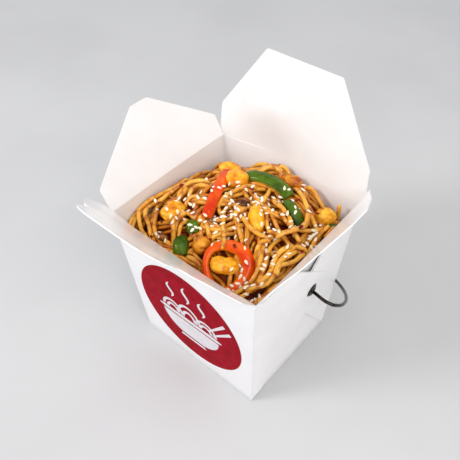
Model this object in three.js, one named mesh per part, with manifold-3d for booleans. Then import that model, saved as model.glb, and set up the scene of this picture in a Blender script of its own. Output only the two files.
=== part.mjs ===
// A noodle takeaway box: one folded sheet of coated card with four lid flaps and a wire handle,
// open and filled with a heap of noodles, fried nuts, pepper strips and sesame seeds.
// Millimetres, +Z up. The origin is the centre of the base. The printed front faces -Y.
import * as THREE from 'three';
import { mergeVertices } from 'three/addons/utils/BufferGeometryUtils.js';
import Module from 'manifold-3d';

const wasm = await Module();
wasm.setup();

// ---- Carton ----
const RIM = { x: 100, y: 93.8 };
const BASE = { x: 88, y: 77.4 };
const HEIGHT = 109.2;
const CARD = 0.5;
const GAP = 0.35;

// ---- Folded corner webs that stand a little off each side wall ----
const HOLE = { y: 0, z: 80, radius: 4.3 };
const WEB_SPRING = 0.083;
const WEB_RIDGE = 12;
const WEB_TOP = HEIGHT - 0.8;
const WEB_TUCK = 0.25;
const WEB_LAP = 1.35;

// ---- Lid flaps: lean from upright, in degrees, and length from the crease ----
const SIDE_FLAP = { lean: 30, length: 43.5, shoulder: 13.5, half: 46.3, tip: 6 };
const BACK_FLAP = { lean: 7.5, length: 64, shoulder: 21, half: 49.7, ear: 52.3, tip: 24 };
const FRONT_FLAP = { lean: 35.3, length: 60.9, shoulder: 20.5, half: 49.7, ear: 52.3 };
const NOTCH = { half: 34.1, rise: 40.4 };
const TONGUE = { half: 29, root: 42.7 };
const SLIT = { inner: 15.4, rise: 46.9, width: 0.5 };

// ---- Wire handle ----
const WIRE_RADIUS = 1;
const PIVOT = { y: 0.5, z: 78 };
const BAIL = { hang: -40.5, halfWidth: 69, shoulder: 2.8, reach: 72.9, hookX: 49.85, hookLength: 5.5 };
const EYE = { radius: 3.9, innerX: 51.6, outerX: 54.2 };

// ---- Food ----
const NOODLE_RADIUS = 1.45;
const NOODLE_COUNT = 20;
const SEED_COUNT = 24;
const SEED_SIZE = { length: 3.1, width: 1.8, height: 1.2 };
const HEAP = { top: 110.5, coreDrop: 3.2, wallGap: 0.45, cells: 8 };

const WHITE_CARD = { color: 0xf2f1ee, roughness: 0.45, metalness: 0 };
const WIRE_STEEL = { color: 0x2a211d, roughness: 0.35, metalness: 0.8 };
const NOODLE_GOLD = { color: 0xb9772e, roughness: 0.35, metalness: 0 };
const NUT_GOLD = { color: 0xe79a26, roughness: 0.4, metalness: 0 };
const PEPPER_RED = { color: 0xd23c10, roughness: 0.25, metalness: 0 };
const PEPPER_GREEN = { color: 0x2f7a1c, roughness: 0.25, metalness: 0 };
const MUSHROOM_BROWN = { color: 0x4a2413, roughness: 0.4, metalness: 0 };

// ---- Small tools ----
const lerp = THREE.MathUtils.lerp;
const smooth = (value, from, to) => THREE.MathUtils.smoothstep(value, from, to);
const halfX = (z) => lerp(BASE.x, RIM.x, z / HEIGHT) / 2;
const halfY = (z) => lerp(BASE.y, RIM.y, z / HEIGHT) / 2;

function seededRandom(seed) {
  let state = seed;
  return () => {
    state = (state + 0x6d2b79f5) | 0;
    let t = Math.imul(state ^ (state >>> 15), 1 | state);
    t = (t + Math.imul(t ^ (t >>> 7), 61 | t)) ^ t;
    return ((t ^ (t >>> 14)) >>> 0) / 4294967296;
  };
}

function toSolid(geometry) {
  const bare = geometry.index ? geometry.clone() : geometry;
  bare.deleteAttribute('normal');
  bare.deleteAttribute('uv');
  const merged = mergeVertices(bare, 1e-4);
  return new wasm.Manifold(new wasm.Mesh({
    numProp: 3,
    vertProperties: new Float32Array(merged.attributes.position.array),
    triVerts: new Uint32Array(merged.index.array),
  }));
}

function toGeometry(solid) {
  const mesh = solid.getMesh();
  const geometry = new THREE.BufferGeometry();
  geometry.setAttribute('position', new THREE.BufferAttribute(new Float32Array(mesh.vertProperties), 3));
  geometry.setIndex(new THREE.BufferAttribute(new Uint32Array(mesh.triVerts), 1));
  geometry.computeVertexNormals();
  return geometry;
}

function largestPiece(solid) {
  return solid.decompose().reduce((best, piece) => (piece.volume() > best.volume() ? piece : best));
}

function reshape(geometry, place) {
  const position = geometry.attributes.position;
  const point = new THREE.Vector3();
  for (let i = 0; i < position.count; i += 1) {
    point.fromBufferAttribute(position, i);
    place(point);
    position.setXYZ(i, point.x, point.y, point.z);
  }
  return geometry;
}

function namedMesh(name, geometry, finish) {
  const mesh = new THREE.Mesh(geometry, new THREE.MeshStandardMaterial(finish));
  mesh.name = name;
  return mesh;
}

function tube(curve, radius, sides, steps) {
  const middle = new THREE.Vector2();
  const corner = (i) => new THREE.Vector2(radius, 0).rotateAround(middle, (i / sides) * 2 * Math.PI);
  const section = new THREE.Shape(Array.from({ length: sides }, (_, i) => corner(i)));
  return new THREE.ExtrudeGeometry(section, { extrudePath: curve, steps, bevelEnabled: false });
}

// ---- Carton body: base, four tapered walls and the webs folded round onto both side walls ----
function taperedBlock(inset, fromZ, toZ) {
  return reshape(new THREE.BoxGeometry(1, 1, 1), (p) => {
    const z = p.z < 0 ? fromZ : toZ;
    p.set(Math.sign(p.x) * (halfX(z) - inset), Math.sign(p.y) * (halfY(z) - inset), z);
  });
}

function webStandOff(y, z) {
  const bulge = 1 - 0.6 * smooth(HOLE.z - z, 0, 60) - 0.7 * smooth(z - HOLE.z, 2, 20);
  return WEB_SPRING * bulge * (Math.hypot(halfY(z), WEB_RIDGE) - Math.hypot(y, WEB_RIDGE));
}

// Rows run from the corner crease to the free edge: up the slanting fold, round the tip, along the top.
const WEB_ROWS = [
  { creaseZ: 1, y: -37.6, z: 1.6 },
  { creaseZ: 14, y: -27.8, z: 16 },
  { creaseZ: 28, y: -17.4, z: 31.3 },
  { creaseZ: 42, y: -7, z: 46.5 },
  { creaseZ: 56, y: 3.2, z: 61.5 },
  { creaseZ: 70, y: 13.2, z: 76 },
  { creaseZ: 79, y: 15.4, z: 80.8 },
  { creaseZ: 88, y: 10, z: 86.5 },
  { creaseZ: 98, y: -1.5, z: 96.3 },
  { creaseZ: WEB_TOP - 3, y: -11, z: 104 },
  { creaseZ: WEB_TOP, y: -21, z: WEB_TOP },
];

// A web is a double layer of card. The front one laps over the back one at the handle hole.
function webPlate(side, end, lap) {
  const columns = 5;
  const rows = WEB_ROWS.length - 1;
  const plate = new THREE.BoxGeometry(1, 1, 1, 1, columns, rows);
  return reshape(plate, (p) => {
    const row = WEB_ROWS[Math.round((p.z + 0.5) * rows)];
    const across = p.y + 0.5;
    const y = lerp(-halfY(row.creaseZ), row.y, across);
    const z = lerp(row.creaseZ, row.z, across);
    const fromCrease = y + halfY(z);
    const tuck = WEB_TUCK * (1 - Math.min(1, fromCrease / 4));
    const inner = halfX(z) + webStandOff(y, z) - tuck + lap * smooth(fromCrease, 0, 12);
    const thickness = 2 * CARD * lerp(0.35, 1, Math.min(1, fromCrease / 6));
    p.set(side * (inner + (p.x > 0 ? thickness : 0)), -end * y, z);
  });
}

// A mirrored plate is turned inside out, so its triangles are flipped back.
function flipped(geometry) {
  const index = geometry.index.array;
  for (let i = 0; i < index.length; i += 3) [index[i], index[i + 1]] = [index[i + 1], index[i]];
  return geometry;
}

function cartonGeometry() {
  let card = toSolid(taperedBlock(0, 0, HEIGHT - GAP));
  card = card.subtract(toSolid(taperedBlock(CARD, CARD, HEIGHT + 1)));
  for (const side of [-1, 1]) {
    for (const end of [-1, 1]) {
      const plate = webPlate(side, end, end < 0 ? WEB_LAP : 0);
      card = card.add(toSolid(side * -end < 0 ? flipped(plate) : plate));
    }
    const drill = new THREE.CylinderGeometry(HOLE.radius, HOLE.radius, 12, 16);
    drill.rotateZ(Math.PI / 2);
    drill.translate(side * (halfX(HOLE.z) + 1 + 6), HOLE.y, HOLE.z);
    card = card.subtract(toSolid(drill));
  }
  return toGeometry(card);
}

// ---- Lid flaps: flat card outlines hinged on the rim creases ----
function mirroredOutline(rightHalf) {
  const left = rightHalf.map(([s, t]) => [-s, t]).reverse();
  return new THREE.Shape([...rightHalf, ...left].map(([s, t]) => new THREE.Vector2(s, t)));
}

function sideFlapOutline() {
  const f = SIDE_FLAP;
  return mirroredOutline([[f.half, GAP], [f.half, f.shoulder], [f.tip, f.length]]);
}

function backFlapOutline() {
  const f = BACK_FLAP;
  return mirroredOutline([[f.half, GAP], [f.ear, 4.5], [f.ear, f.shoulder], [f.tip, f.length]]);
}

// The front flap ends in a rounded tongue, cut free at its root by a slanting slit on each side.
function frontFlapOutline() {
  const f = FRONT_FLAP;
  const right = [[f.half, GAP], [f.ear, 4.5], [f.ear, f.shoulder], [NOTCH.half, NOTCH.rise]];
  right.push([SLIT.inner, SLIT.rise], [SLIT.inner, SLIT.rise + SLIT.width]);
  const tongueSteps = 8;
  for (let i = 0; i < tongueSteps; i += 1) {
    const angle = (i / tongueSteps) * (Math.PI / 2);
    const rise = (f.length - TONGUE.root) * Math.sin(angle) ** 0.97;
    right.push([TONGUE.half * Math.cos(angle) ** 0.6, TONGUE.root + rise]);
  }
  return mirroredOutline(right);
}

function flap(name, outline, reach, heading, lean) {
  const geometry = new THREE.ExtrudeGeometry(outline, { depth: CARD, bevelEnabled: false });
  geometry.translate(0, 0, -CARD / 2);
  geometry.rotateX(Math.PI / 2);
  const panel = namedMesh(name, geometry, WHITE_CARD);
  panel.rotation.x = -THREE.MathUtils.degToRad(lean);
  const crease = new THREE.Group();
  crease.rotation.z = THREE.MathUtils.degToRad(heading);
  crease.position.set(0, reach - CARD / 2, HEIGHT).applyEuler(crease.rotation);
  crease.add(panel);
  return crease;
}

// ---- Wire handle: an arch whose ends are wound into an eye in each hole and hook behind the webs ----
function handlePoint(x, out) {
  const hang = THREE.MathUtils.degToRad(BAIL.hang);
  return new THREE.Vector3(x, PIVOT.y + out * Math.cos(hang), PIVOT.z + out * Math.sin(hang));
}

function handleGeometry() {
  const rightHalf = [
    [BAIL.hookX, -BAIL.hookLength], [BAIL.hookX, -1.6], [BAIL.hookX + 1.2, 0.2], [BAIL.hookX + 5, 0.8],
    [BAIL.halfWidth - 9.5, -1.5], [BAIL.halfWidth - 5.9, -2.6],
    [BAIL.halfWidth - 3.2, -1.6], [BAIL.halfWidth - 1.4, 0.6],
  ];
  const archSteps = 9;
  for (let i = 0; i < archSteps; i += 1) {
    const angle = lerp(0.08, Math.PI / 2, i / archSteps);
    rightHalf.push([BAIL.halfWidth * Math.cos(angle), BAIL.shoulder + BAIL.reach * Math.sin(angle)]);
  }
  const crown = [[0, BAIL.shoulder + BAIL.reach]];
  const leftHalf = rightHalf.map(([x, out]) => [-x, out]).reverse();
  const points = [...rightHalf, ...crown, ...leftHalf].map(([x, out]) => handlePoint(x, out));
  let handle = toSolid(tube(new THREE.CatmullRomCurve3(points), WIRE_RADIUS, 5, 90));
  for (const side of [-1, 1]) handle = handle.add(toSolid(eyeGeometry(side)));
  return toGeometry(handle);
}

// The eye is the wire wound into a tight curl that fills the hole and turns in it.
function eyeGeometry(side) {
  const eye = new THREE.CylinderGeometry(EYE.radius, EYE.radius, EYE.outerX - EYE.innerX, 12);
  eye.rotateZ(Math.PI / 2);
  return eye.translate(side * (EYE.innerX + EYE.outerX) / 2, HOLE.y, HOLE.z);
}

// ---- Heap: how high the noodles stand over each point of the box ----
function heapHeight(x, y) {
  const left = 11 * smooth(-x, 24, 49);
  const leftRear = 4 * smooth(-x, 30, 49) * smooth(y, 0, 22);
  const right = 8 * smooth(x, 18, 50);
  const front = 13 * smooth(-y, 16, 46);
  const west = 1 - smooth(x, -18, -4);
  const east = smooth(x, 12, 32);
  const back = smooth(y, 22, 47) * (11 * west + 4 * (1 - west) * (1 - east) + 12 * east);
  return HEAP.top - left - leftRear - right - front - back;
}

function coreGeometry() {
  const { cells, wallGap, coreDrop } = HEAP;
  const inset = CARD + wallGap;
  return reshape(new THREE.BoxGeometry(2, 2, 1, cells, cells, 1), (p) => {
    if (p.z < 0) {
      p.set(p.x * (halfX(0) - inset), p.y * (halfY(0) - inset), CARD + wallGap);
      return;
    }
    const roomX = halfX(95) - inset;
    const roomY = halfY(95) - inset;
    const z = heapHeight(p.x * roomX, p.y * roomY) - coreDrop;
    p.set(p.x * (halfX(z) - inset), p.y * (halfY(z) - inset), z);
  });
}

// A noodle wanders over the core in a slow curve, turns back at the walls and dives in at its ends.
function noodlePath(random, index) {
  const stepLength = 3.6;
  const steps = 13 + Math.floor(random() * 6);
  const columns = 5;
  const rows = NOODLE_COUNT / columns;
  let x = -41 + 82 * (((index % columns) + random()) / columns);
  let y = -38 + 76 * ((Math.floor(index / columns) + random()) / rows);
  let heading = random() * 2 * Math.PI;
  const bend = (random() - 0.5) * 0.1;
  const swing = 0.05 + random() * 0.05;
  const phase = random() * 2 * Math.PI;
  const lift = (index % 3) * 0.8;
  const points = [];
  for (let i = 0; i <= steps; i += 1) {
    const nearEnd = Math.min(i, steps - i);
    const dive = nearEnd === 0 ? 2.6 : nearEnd === 1 ? 0.8 : 0;
    const z = heapHeight(x, y) - HEAP.coreDrop + 0.5 * NOODLE_RADIUS + lift - dive;
    points.push(new THREE.Vector3(x, y, z));
    heading += (bend + swing * Math.sin(phase + i * 0.55)) * stepLength;
    const over = Math.max(Math.abs(x) / 44.5, Math.abs(y) / 41);
    if (over > 0.82) {
      const home = Math.atan2(-y, -x);
      const turn = Math.atan2(Math.sin(home - heading), Math.cos(home - heading));
      heading += turn * Math.min(0.6, (over - 0.82) * 3.2);
    }
    x = THREE.MathUtils.clamp(x + stepLength * Math.cos(heading), -45.5, 45.5);
    y = THREE.MathUtils.clamp(y + stepLength * Math.sin(heading), -42, 42);
  }
  return points;
}

function seedGeometry(at, turn, grow) {
  const { length, width, height } = SEED_SIZE;
  const seed = new THREE.OctahedronGeometry(1, 0);
  seed.scale(length / 2 + grow, width / 2 + grow, height / 2 + grow);
  seed.rotateZ(turn);
  return seed.translate(at.x, at.y, at.z);
}

function heapSolid() {
  const random = seededRandom(26);
  let heap = toSolid(coreGeometry());
  const paths = [];
  for (let i = 0; i < NOODLE_COUNT; i += 1) {
    const curve = new THREE.CatmullRomCurve3(noodlePath(random, i));
    paths.push(curve);
    const steps = Math.round(curve.getLength() / 6);
    heap = heap.add(toSolid(tube(curve, NOODLE_RADIUS, 5, steps)));
  }
  for (let i = 0; i < SEED_COUNT; i += 1) {
    const at = paths[i % NOODLE_COUNT].getPoint(0.12 + 0.76 * random());
    at.z += NOODLE_RADIUS + 0.15;
    heap = heap.add(toSolid(seedGeometry(at, random() * Math.PI, 0)));
  }
  const inside = toSolid(taperedBlock(CARD + GAP, CARD + GAP, HEIGHT + 25));
  return heap.intersect(inside);
}

// ---- Toppings: each is made by a function of how much it is grown, so that the heap is hollowed to fit ----
function nut(at, size, turn, tip) {
  return (grow) => {
    const ball = new THREE.SphereGeometry(1, 10, 6);
    reshape(ball, (p) => {
      const waist = 1 - 0.12 * Math.exp(-((p.x / 0.3) ** 2)) * Math.max(0, p.z);
      p.set(p.x * (size[0] / 2 + grow), p.y * (size[1] / 2 + grow) * waist, p.z * (size[2] / 2 + grow) * waist);
    });
    ball.rotateY(tip);
    ball.rotateZ(turn);
    return toSolid(ball.translate(...at));
  };
}

// A strip of pepper wall follows a curve; its section is a shallow bow, wide and thin.
function pepperStrip(points, width, thickness, roll) {
  return (grow) => {
    const curve = new THREE.CatmullRomCurve3(points.map((p) => new THREE.Vector3(...p)));
    const steps = Math.max(5, Math.round(curve.getLength() / 4));
    const strip = new THREE.BoxGeometry(1, 2, 2, steps, 2, 1);
    reshape(strip, (p) => {
      const [along, side, face] = [p.x + 0.5, p.y, p.z];
      const reach = along === 0 ? -grow : along === 1 ? grow : 0;
      const tangent = curve.getTangentAt(along);
      const centre = curve.getPointAt(along).addScaledVector(tangent, reach);
      const across = new THREE.Vector3().crossVectors(new THREE.Vector3(0, 0, 1), tangent).normalize();
      across.applyAxisAngle(tangent, roll(along));
      const normal = new THREE.Vector3().crossVectors(tangent, across);
      const ends = 0.62 + 0.38 * Math.sin(Math.PI * Math.min(1, Math.max(0, along))) ** 0.6;
      const bow = -0.18 * width * side * side * ends;
      const halfWidth = (width / 2) * ends + grow;
      const halfThick = thickness / 2 + grow;
      p.copy(centre).addScaledVector(across, side * halfWidth).addScaledVector(normal, face * halfThick + bow);
    });
    return toSolid(strip);
  };
}

// The ring is a slice across a red pepper: a loop of its wall, thicker on one side, tilted in the heap.
const RING = {
  centre: [20.2, -32, 102.4], turn: -49, tilt: 38,
  reach: 11.9, across: 10.8, width: 3.8, thickness: 5.6, uneven: 0.38,
};
function pepperRing(grow) {
  const steps = 20;
  const loop = new THREE.TorusGeometry(1, 0.1, 5, steps);
  reshape(loop, (p) => {
    const angle = Math.atan2(p.y, p.x);
    const out = (Math.hypot(p.x, p.y) - 1) / 0.1;
    const wave = 1 + 0.05 * Math.cos(3 * angle + 0.6);
    const wall = out * ((RING.thickness / 2) * (1 + RING.uneven * Math.sin(angle)) + grow);
    const rise = (p.z / 0.1) * (RING.width / 2 + grow);
    p.set((RING.reach * wave + wall) * Math.cos(angle), (RING.across * wave + wall) * Math.sin(angle), rise);
  });
  loop.rotateY(THREE.MathUtils.degToRad(RING.tilt));
  loop.rotateZ(THREE.MathUtils.degToRad(RING.turn));
  return toSolid(loop.translate(...RING.centre));
}

const flat = () => 0;
const TOPPINGS = [
  ['nut_crown', NUT_GOLD, nut([-13.1, 16.2, 111.5], [13.2, 12.6, 11], 0.6, 0.1)],
  ['nut_back', NUT_GOLD, nut([-25.5, 25, 106.8], [14, 10.5, 7.5], 0.3, 0.1)],
  ['nut_left', NUT_GOLD, nut([-25.6, -23.4, 108], [15, 11.5, 9.5], 1.68, 0)],
  ['nut_centre', NUT_GOLD, nut([15.6, -2.4, 111], [16.6, 9.2, 8.5], -0.86, 0.35)],
  ['nut_front', NUT_GOLD, nut([1.1, -29.8, 104.4], [9.8, 10.4, 10], 0.2, 0.1)],
  ['nut_ring', NUT_GOLD, nut([19.5, -32.8, 104.8], [14.8, 10.8, 8], 0.6, 0.1)],
  ['red_pepper_ring', PEPPER_RED, pepperRing],
  ['nut_right', NUT_GOLD, nut([38, 31, 102.2], [13, 12, 10], 0.9, -0.2)],
  ['nut_rear', NUT_GOLD, nut([9, 39, 107], [13, 9, 8], 0.4, 0.1)],
  ['green_pepper_arch', PEPPER_GREEN, pepperStrip(
    [[-13.5, 22.2, 109], [-9, 24.3, 112.3], [-2.5, 26.3, 113.2],
      [5.5, 27.3, 113], [12.5, 27, 111.6], [17.2, 26, 109.2]], 8.2, 2.6, flat)],
  ['green_pepper_tail', PEPPER_GREEN, pepperStrip(
    [[18.5, 21.4, 109.6], [23.4, 19, 110.6], [28.8, 16, 109.4], [34.5, 13, 105.8]], 6.5, 2.4, flat)],
  ['red_pepper_strip', PEPPER_RED, pepperStrip(
    [[-23.6, 19.6, 110], [-18, 7.9, 112.4], [-12.2, -4.6, 112.6], [-6.7, -17.4, 110.6]], 6.8, 2.8, flat)],
  ['green_pepper_left', PEPPER_GREEN, pepperStrip(
    [[-13, -22.5, 107.3], [-9.6, -24.8, 108.3], [-6.8, -27, 106.2]], 7, 2.4, flat)],
  ['green_pepper_front', PEPPER_GREEN, pepperStrip(
    [[-12.6, -31.6, 102.8], [-9.2, -35, 102.4], [-6.4, -39, 99.6]], 8.5, 2.4, flat)],
  ['green_pepper_right', PEPPER_GREEN, pepperStrip(
    [[43.6, 25.4, 100.2], [44.2, 29, 100.8], [44.4, 32.4, 99]], 4.5, 2, flat)],
  ['mushroom_left', MUSHROOM_BROWN, nut([-21.8, -36, 99.8], [6.2, 5, 4.4], 0.3, 0)],
  ['mushroom_centre', MUSHROOM_BROWN, nut([0.5, 5.2, 109.8], [8, 7, 4.5], 0.8, 0.1)],
];

// ---- Assembly ----
const box = new THREE.Group();
box.add(namedMesh('carton', cartonGeometry(), WHITE_CARD));
box.add(flap('flap_front', frontFlapOutline(), RIM.y / 2, 180, FRONT_FLAP.lean));
box.add(flap('flap_back', backFlapOutline(), RIM.y / 2, 0, BACK_FLAP.lean));
box.add(flap('flap_left', sideFlapOutline(), RIM.x / 2, 90, SIDE_FLAP.lean));
box.add(flap('flap_right', sideFlapOutline(), RIM.x / 2, -90, SIDE_FLAP.lean));
box.add(namedMesh('handle', handleGeometry(), WIRE_STEEL));

const laid = [];
let heap = heapSolid();
for (const [name, finish, make] of TOPPINGS) {
  let piece = make(0);
  for (const earlier of laid) piece = piece.subtract(earlier(GAP));
  laid.push(make);
  heap = heap.subtract(make(GAP));
  box.add(namedMesh(name, toGeometry(largestPiece(piece)), finish));
}
box.add(namedMesh('noodles', toGeometry(largestPiece(heap)), NOODLE_GOLD));

export default box;
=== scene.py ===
# A noodle takeaway box, standing open and heaped with sauced noodles, fried nuts, pepper and sesame.
# The printed wall faces -Y and +Z is up. Sizes are written in millimetres and become metres in each mesh.
import math
import random

import bpy
import numpy as np
from mathutils import Matrix, Vector, noise
from mathutils.bvhtree import BVHTree


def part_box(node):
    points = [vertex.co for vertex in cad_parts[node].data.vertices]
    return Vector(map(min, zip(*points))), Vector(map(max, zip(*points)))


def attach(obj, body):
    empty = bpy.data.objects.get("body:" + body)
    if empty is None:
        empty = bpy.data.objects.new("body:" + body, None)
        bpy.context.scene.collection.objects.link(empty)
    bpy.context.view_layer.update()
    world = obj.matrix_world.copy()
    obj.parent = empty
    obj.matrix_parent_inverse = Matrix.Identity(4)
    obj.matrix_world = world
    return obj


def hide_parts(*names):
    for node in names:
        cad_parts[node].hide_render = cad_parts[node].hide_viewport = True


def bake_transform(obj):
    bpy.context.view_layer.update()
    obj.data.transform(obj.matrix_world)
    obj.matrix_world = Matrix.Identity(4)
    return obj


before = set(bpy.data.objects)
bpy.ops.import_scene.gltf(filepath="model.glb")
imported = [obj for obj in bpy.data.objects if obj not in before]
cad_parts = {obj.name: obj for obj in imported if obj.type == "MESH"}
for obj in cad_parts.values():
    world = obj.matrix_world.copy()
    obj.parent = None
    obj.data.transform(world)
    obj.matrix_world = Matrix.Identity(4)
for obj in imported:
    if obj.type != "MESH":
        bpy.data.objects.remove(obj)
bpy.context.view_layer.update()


# ------------------------------------------------------------------------------------------------
# Walls and base
# The pail is one die-cut sheet of half-millimetre white coated card. Four walls lean outwards from
# the base and meet in soft vertical creases. The food inside pushes the rim outwards a little.
MM = 0.001
RIM_X, RIM_Y = 100.0, 93.8
BASE_X, BASE_Y = 88.0, 77.4
WALL_HEIGHT = 109.2
CARD = 0.5
CORNER_RADIUS = 1.1


def ease(value, start, end):
    share = np.clip((value - start) / (end - start), 0.0, 1.0)
    return share * share * (3 - 2 * share)


def half_x(z):
    return (BASE_X + (RIM_X - BASE_X) * z / WALL_HEIGHT) / 2


def half_y(z):
    return (BASE_Y + (RIM_Y - BASE_Y) * z / WALL_HEIGHT) / 2


# How far each wall bows outwards. The first value runs along the wall from -1 to 1.
def bowed(most, along, z):
    return most * (1 - along ** 2) * (z / WALL_HEIGHT) ** 2


def bow_right(along, z):
    return bowed(0.4, along, z)


def bow_left(along, z):
    return bowed(0.6, along, z)


def bow_back(along, z):
    return bowed(5.4 * math.exp(-((along + 0.4) / 0.45) ** 2), along, z)


def bow_front(along, z):
    return bowed(0.6, along, z)


def lay_mesh(name, points, faces):
    mesh = bpy.data.meshes.new(name)
    mesh.from_pydata([tuple(float(c) * MM for c in p) for p in points], [], faces)
    mesh.update()
    mesh.shade_smooth()
    piece = bpy.data.objects.new(name, mesh)
    bpy.context.scene.collection.objects.link(piece)
    return piece


def flipped(faces):
    return [tuple(reversed(face)) for face in faces]


def end_caps(first, after, sides):
    """The two faces that close a tube whose points run from first up to after."""
    return [tuple(reversed(range(first, first + sides))), tuple(range(after - sides, after))]


def grid_faces(rows, columns, closed=False, first=0):
    faces = []
    for r in range(rows - 1):
        for c in range(columns if closed else columns - 1):
            near, far = c, (c + 1) % columns
            a, b = first + r * columns, first + (r + 1) * columns
            faces.append((a + near, a + far, b + far, b + near))
    return faces


def settle(piece, crisp=None):
    graph = bpy.context.evaluated_depsgraph_get()
    final = bpy.data.meshes.new_from_object(piece.evaluated_get(graph))
    piece.modifiers.clear()
    piece.data = final
    if crisp is not None:
        final.set_sharp_from_angle(angle=math.radians(crisp))
    return piece


def thicken(piece, thickness, offset, crisp=40):
    card = piece.modifiers.new("card", "SOLIDIFY")
    card.thickness = thickness * MM
    card.offset = offset
    card.use_even_offset = True
    settle(piece, crisp)


def wall_loop(z, inset):
    reach_x, reach_y = half_x(z) - inset, half_y(z) - inset
    radius = max(0.3, CORNER_RADIUS - inset)
    corner_x, corner_y = reach_x - radius, reach_y - radius
    loop = []
    steps, turns = 26, 4
    sides = [(1, -1, 0), (1, 1, 90), (-1, 1, 180), (-1, -1, 270)]
    for index, (sx, sy, facing) in enumerate(sides):
        for i in range(turns + 1):
            angle = math.radians(facing - 90 + 90 * i / turns)
            x = sx * corner_x + radius * math.cos(angle)
            y = sy * corner_y + radius * math.sin(angle)
            loop.append((x, y, z))
        for i in range(1, steps):
            along = -1 + 2 * i / steps
            if index == 0:
                loop.append((reach_x + bow_right(along, z), along * corner_y, z))
            elif index == 1:
                loop.append((-along * corner_x, reach_y + bow_back(-along, z), z))
            elif index == 2:
                loop.append((-reach_x - bow_left(-along, z), -along * corner_y, z))
            else:
                loop.append((along * corner_x, -reach_y - bow_front(along, z), z))
    return loop


outside = [(0.0, 0.55), (0.12, 0.2), (0.5, 0.0)]
outside += [(0.5 + (WALL_HEIGHT - 0.5) * i / 16, 0.0) for i in range(1, 17)]
inside = [(WALL_HEIGHT, CARD)]
inside += [(0.9 + (WALL_HEIGHT - 0.9) * i / 16, CARD) for i in range(15, -1, -1)]
inside += [(CARD, CARD + 0.35)]
profile = outside + inside
points = [p for z, inset in profile for p in wall_loop(z, inset)]
around = len(points) // len(profile)
faces = grid_faces(len(profile), around, closed=True) + end_caps(0, len(points), around)
carton = lay_mesh("card_walls", points, faces)
carton.data.set_sharp_from_angle(angle=math.radians(50))


def new_finish(name):
    finish = bpy.data.materials.new(name)
    finish.use_nodes = True
    tree = finish.node_tree
    return finish, tree, tree.nodes["Principled BSDF"]


def mottle(tree, scale, detail=3.0, stretch=(1, 1, 1), distortion=0.0):
    where = tree.nodes.new("ShaderNodeTexCoord")
    placed = tree.nodes.new("ShaderNodeMapping")
    placed.inputs["Scale"].default_value = stretch
    field = tree.nodes.new("ShaderNodeTexNoise")
    field.inputs["Scale"].default_value = scale
    field.inputs["Detail"].default_value = detail
    field.inputs["Distortion"].default_value = distortion
    tree.links.new(where.outputs["Object"], placed.inputs["Vector"])
    tree.links.new(placed.outputs["Vector"], field.inputs["Vector"])
    return field.outputs["Fac"]


def shades(tree, value, stops):
    ramp = tree.nodes.new("ShaderNodeValToRGB")
    while len(ramp.color_ramp.elements) < len(stops):
        ramp.color_ramp.elements.new(0.5)
    for element, (at, shade) in zip(ramp.color_ramp.elements, stops):
        element.position = at
        element.color = (*shade, 1.0)
    tree.links.new(value, ramp.inputs["Fac"])
    return ramp.outputs["Color"]


def fitted(tree, value, low_in, high_in, low, high):
    fit = tree.nodes.new("ShaderNodeMapRange")
    for socket, number in zip(("From Min", "From Max", "To Min", "To Max"), (low_in, high_in, low, high)):
        fit.inputs[socket].default_value = number
    tree.links.new(value, fit.inputs["Value"])
    return fit.outputs["Result"]


def colour(tree, shader, shade):
    tree.links.new(shade, shader.inputs["Base Color"])


def roughness(tree, shader, scale, low, high):
    tree.links.new(fitted(tree, mottle(tree, scale), 0.3, 0.7, low, high), shader.inputs["Roughness"])


def relief(tree, shader, heights, depth, strength=1.0):
    bump = tree.nodes.new("ShaderNodeBump")
    bump.inputs["Strength"].default_value = strength
    bump.inputs["Distance"].default_value = depth * MM
    tree.links.new(heights, bump.inputs["Height"])
    tree.links.new(bump.outputs["Normal"], shader.inputs["Normal"])


def card_grain(tree, shader):
    relief(tree, shader, mottle(tree, 900.0, 5.0, (1, 1, 0.35)), 0.03, 0.5)


def gloss(shader, specular, coat, coat_roughness):
    shader.inputs["Specular IOR Level"].default_value = specular
    shader.inputs["Coat Weight"].default_value = coat
    shader.inputs["Coat Roughness"].default_value = coat_roughness


def coated_card(name, light, dark, glaze, glaze_roughness):
    finish, tree, shader = new_finish(name)
    colour(tree, shader, shades(tree, mottle(tree, 45.0, 4.0), [(0.35, dark), (0.62, light)]))
    roughness(tree, shader, 120.0, 0.36, 0.48)
    card_grain(tree, shader)
    gloss(shader, 0.4, glaze, glaze_roughness)
    return finish


def line_inside(piece, inner):
    """Give the faces that look at the food the finish of the card's inner side."""
    piece.data.materials.append(inner)
    over_food = Vector((0, 0, 0.15))
    for face in piece.data.polygons:
        face.material_index = int(face.normal.dot(over_food - face.center) > 0)


white_card = coated_card("white_coated_card", (0.925, 0.915, 0.92), (0.89, 0.88, 0.885), 0.1, 0.3)
# The inner side has a film of plastic against grease, which mirrors the food a little.
filmed_card = coated_card("film_lined_card", (0.93, 0.93, 0.935), (0.90, 0.895, 0.895), 0.6, 0.17)
carton.data.materials.append(white_card)
line_inside(carton, filmed_card)
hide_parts("carton")
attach(carton, "box")


# ------------------------------------------------------------------------------------------------
# Printed disc on the front wall
# A crimson disc printed on the card, with a pale drawing of a steaming noodle bowl and chopsticks.
# Each field of ink is laid as its own thin film on the wall, and follows the wall's bow.
DISC_DOWN = 59.0
DISC_WIDE, DISC_TALL = 78.6, 83.4
WALL_SLOPE = math.atan2((RIM_Y - BASE_Y) / 2, WALL_HEIGHT)
INK = 0.05


def on_front_wall(across, up, proud):
    z = WALL_HEIGHT - (DISC_DOWN - up) * math.cos(WALL_SLOPE)
    return (across, -half_y(z) - bow_front(across / half_x(z), z) - proud, z)


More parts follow.
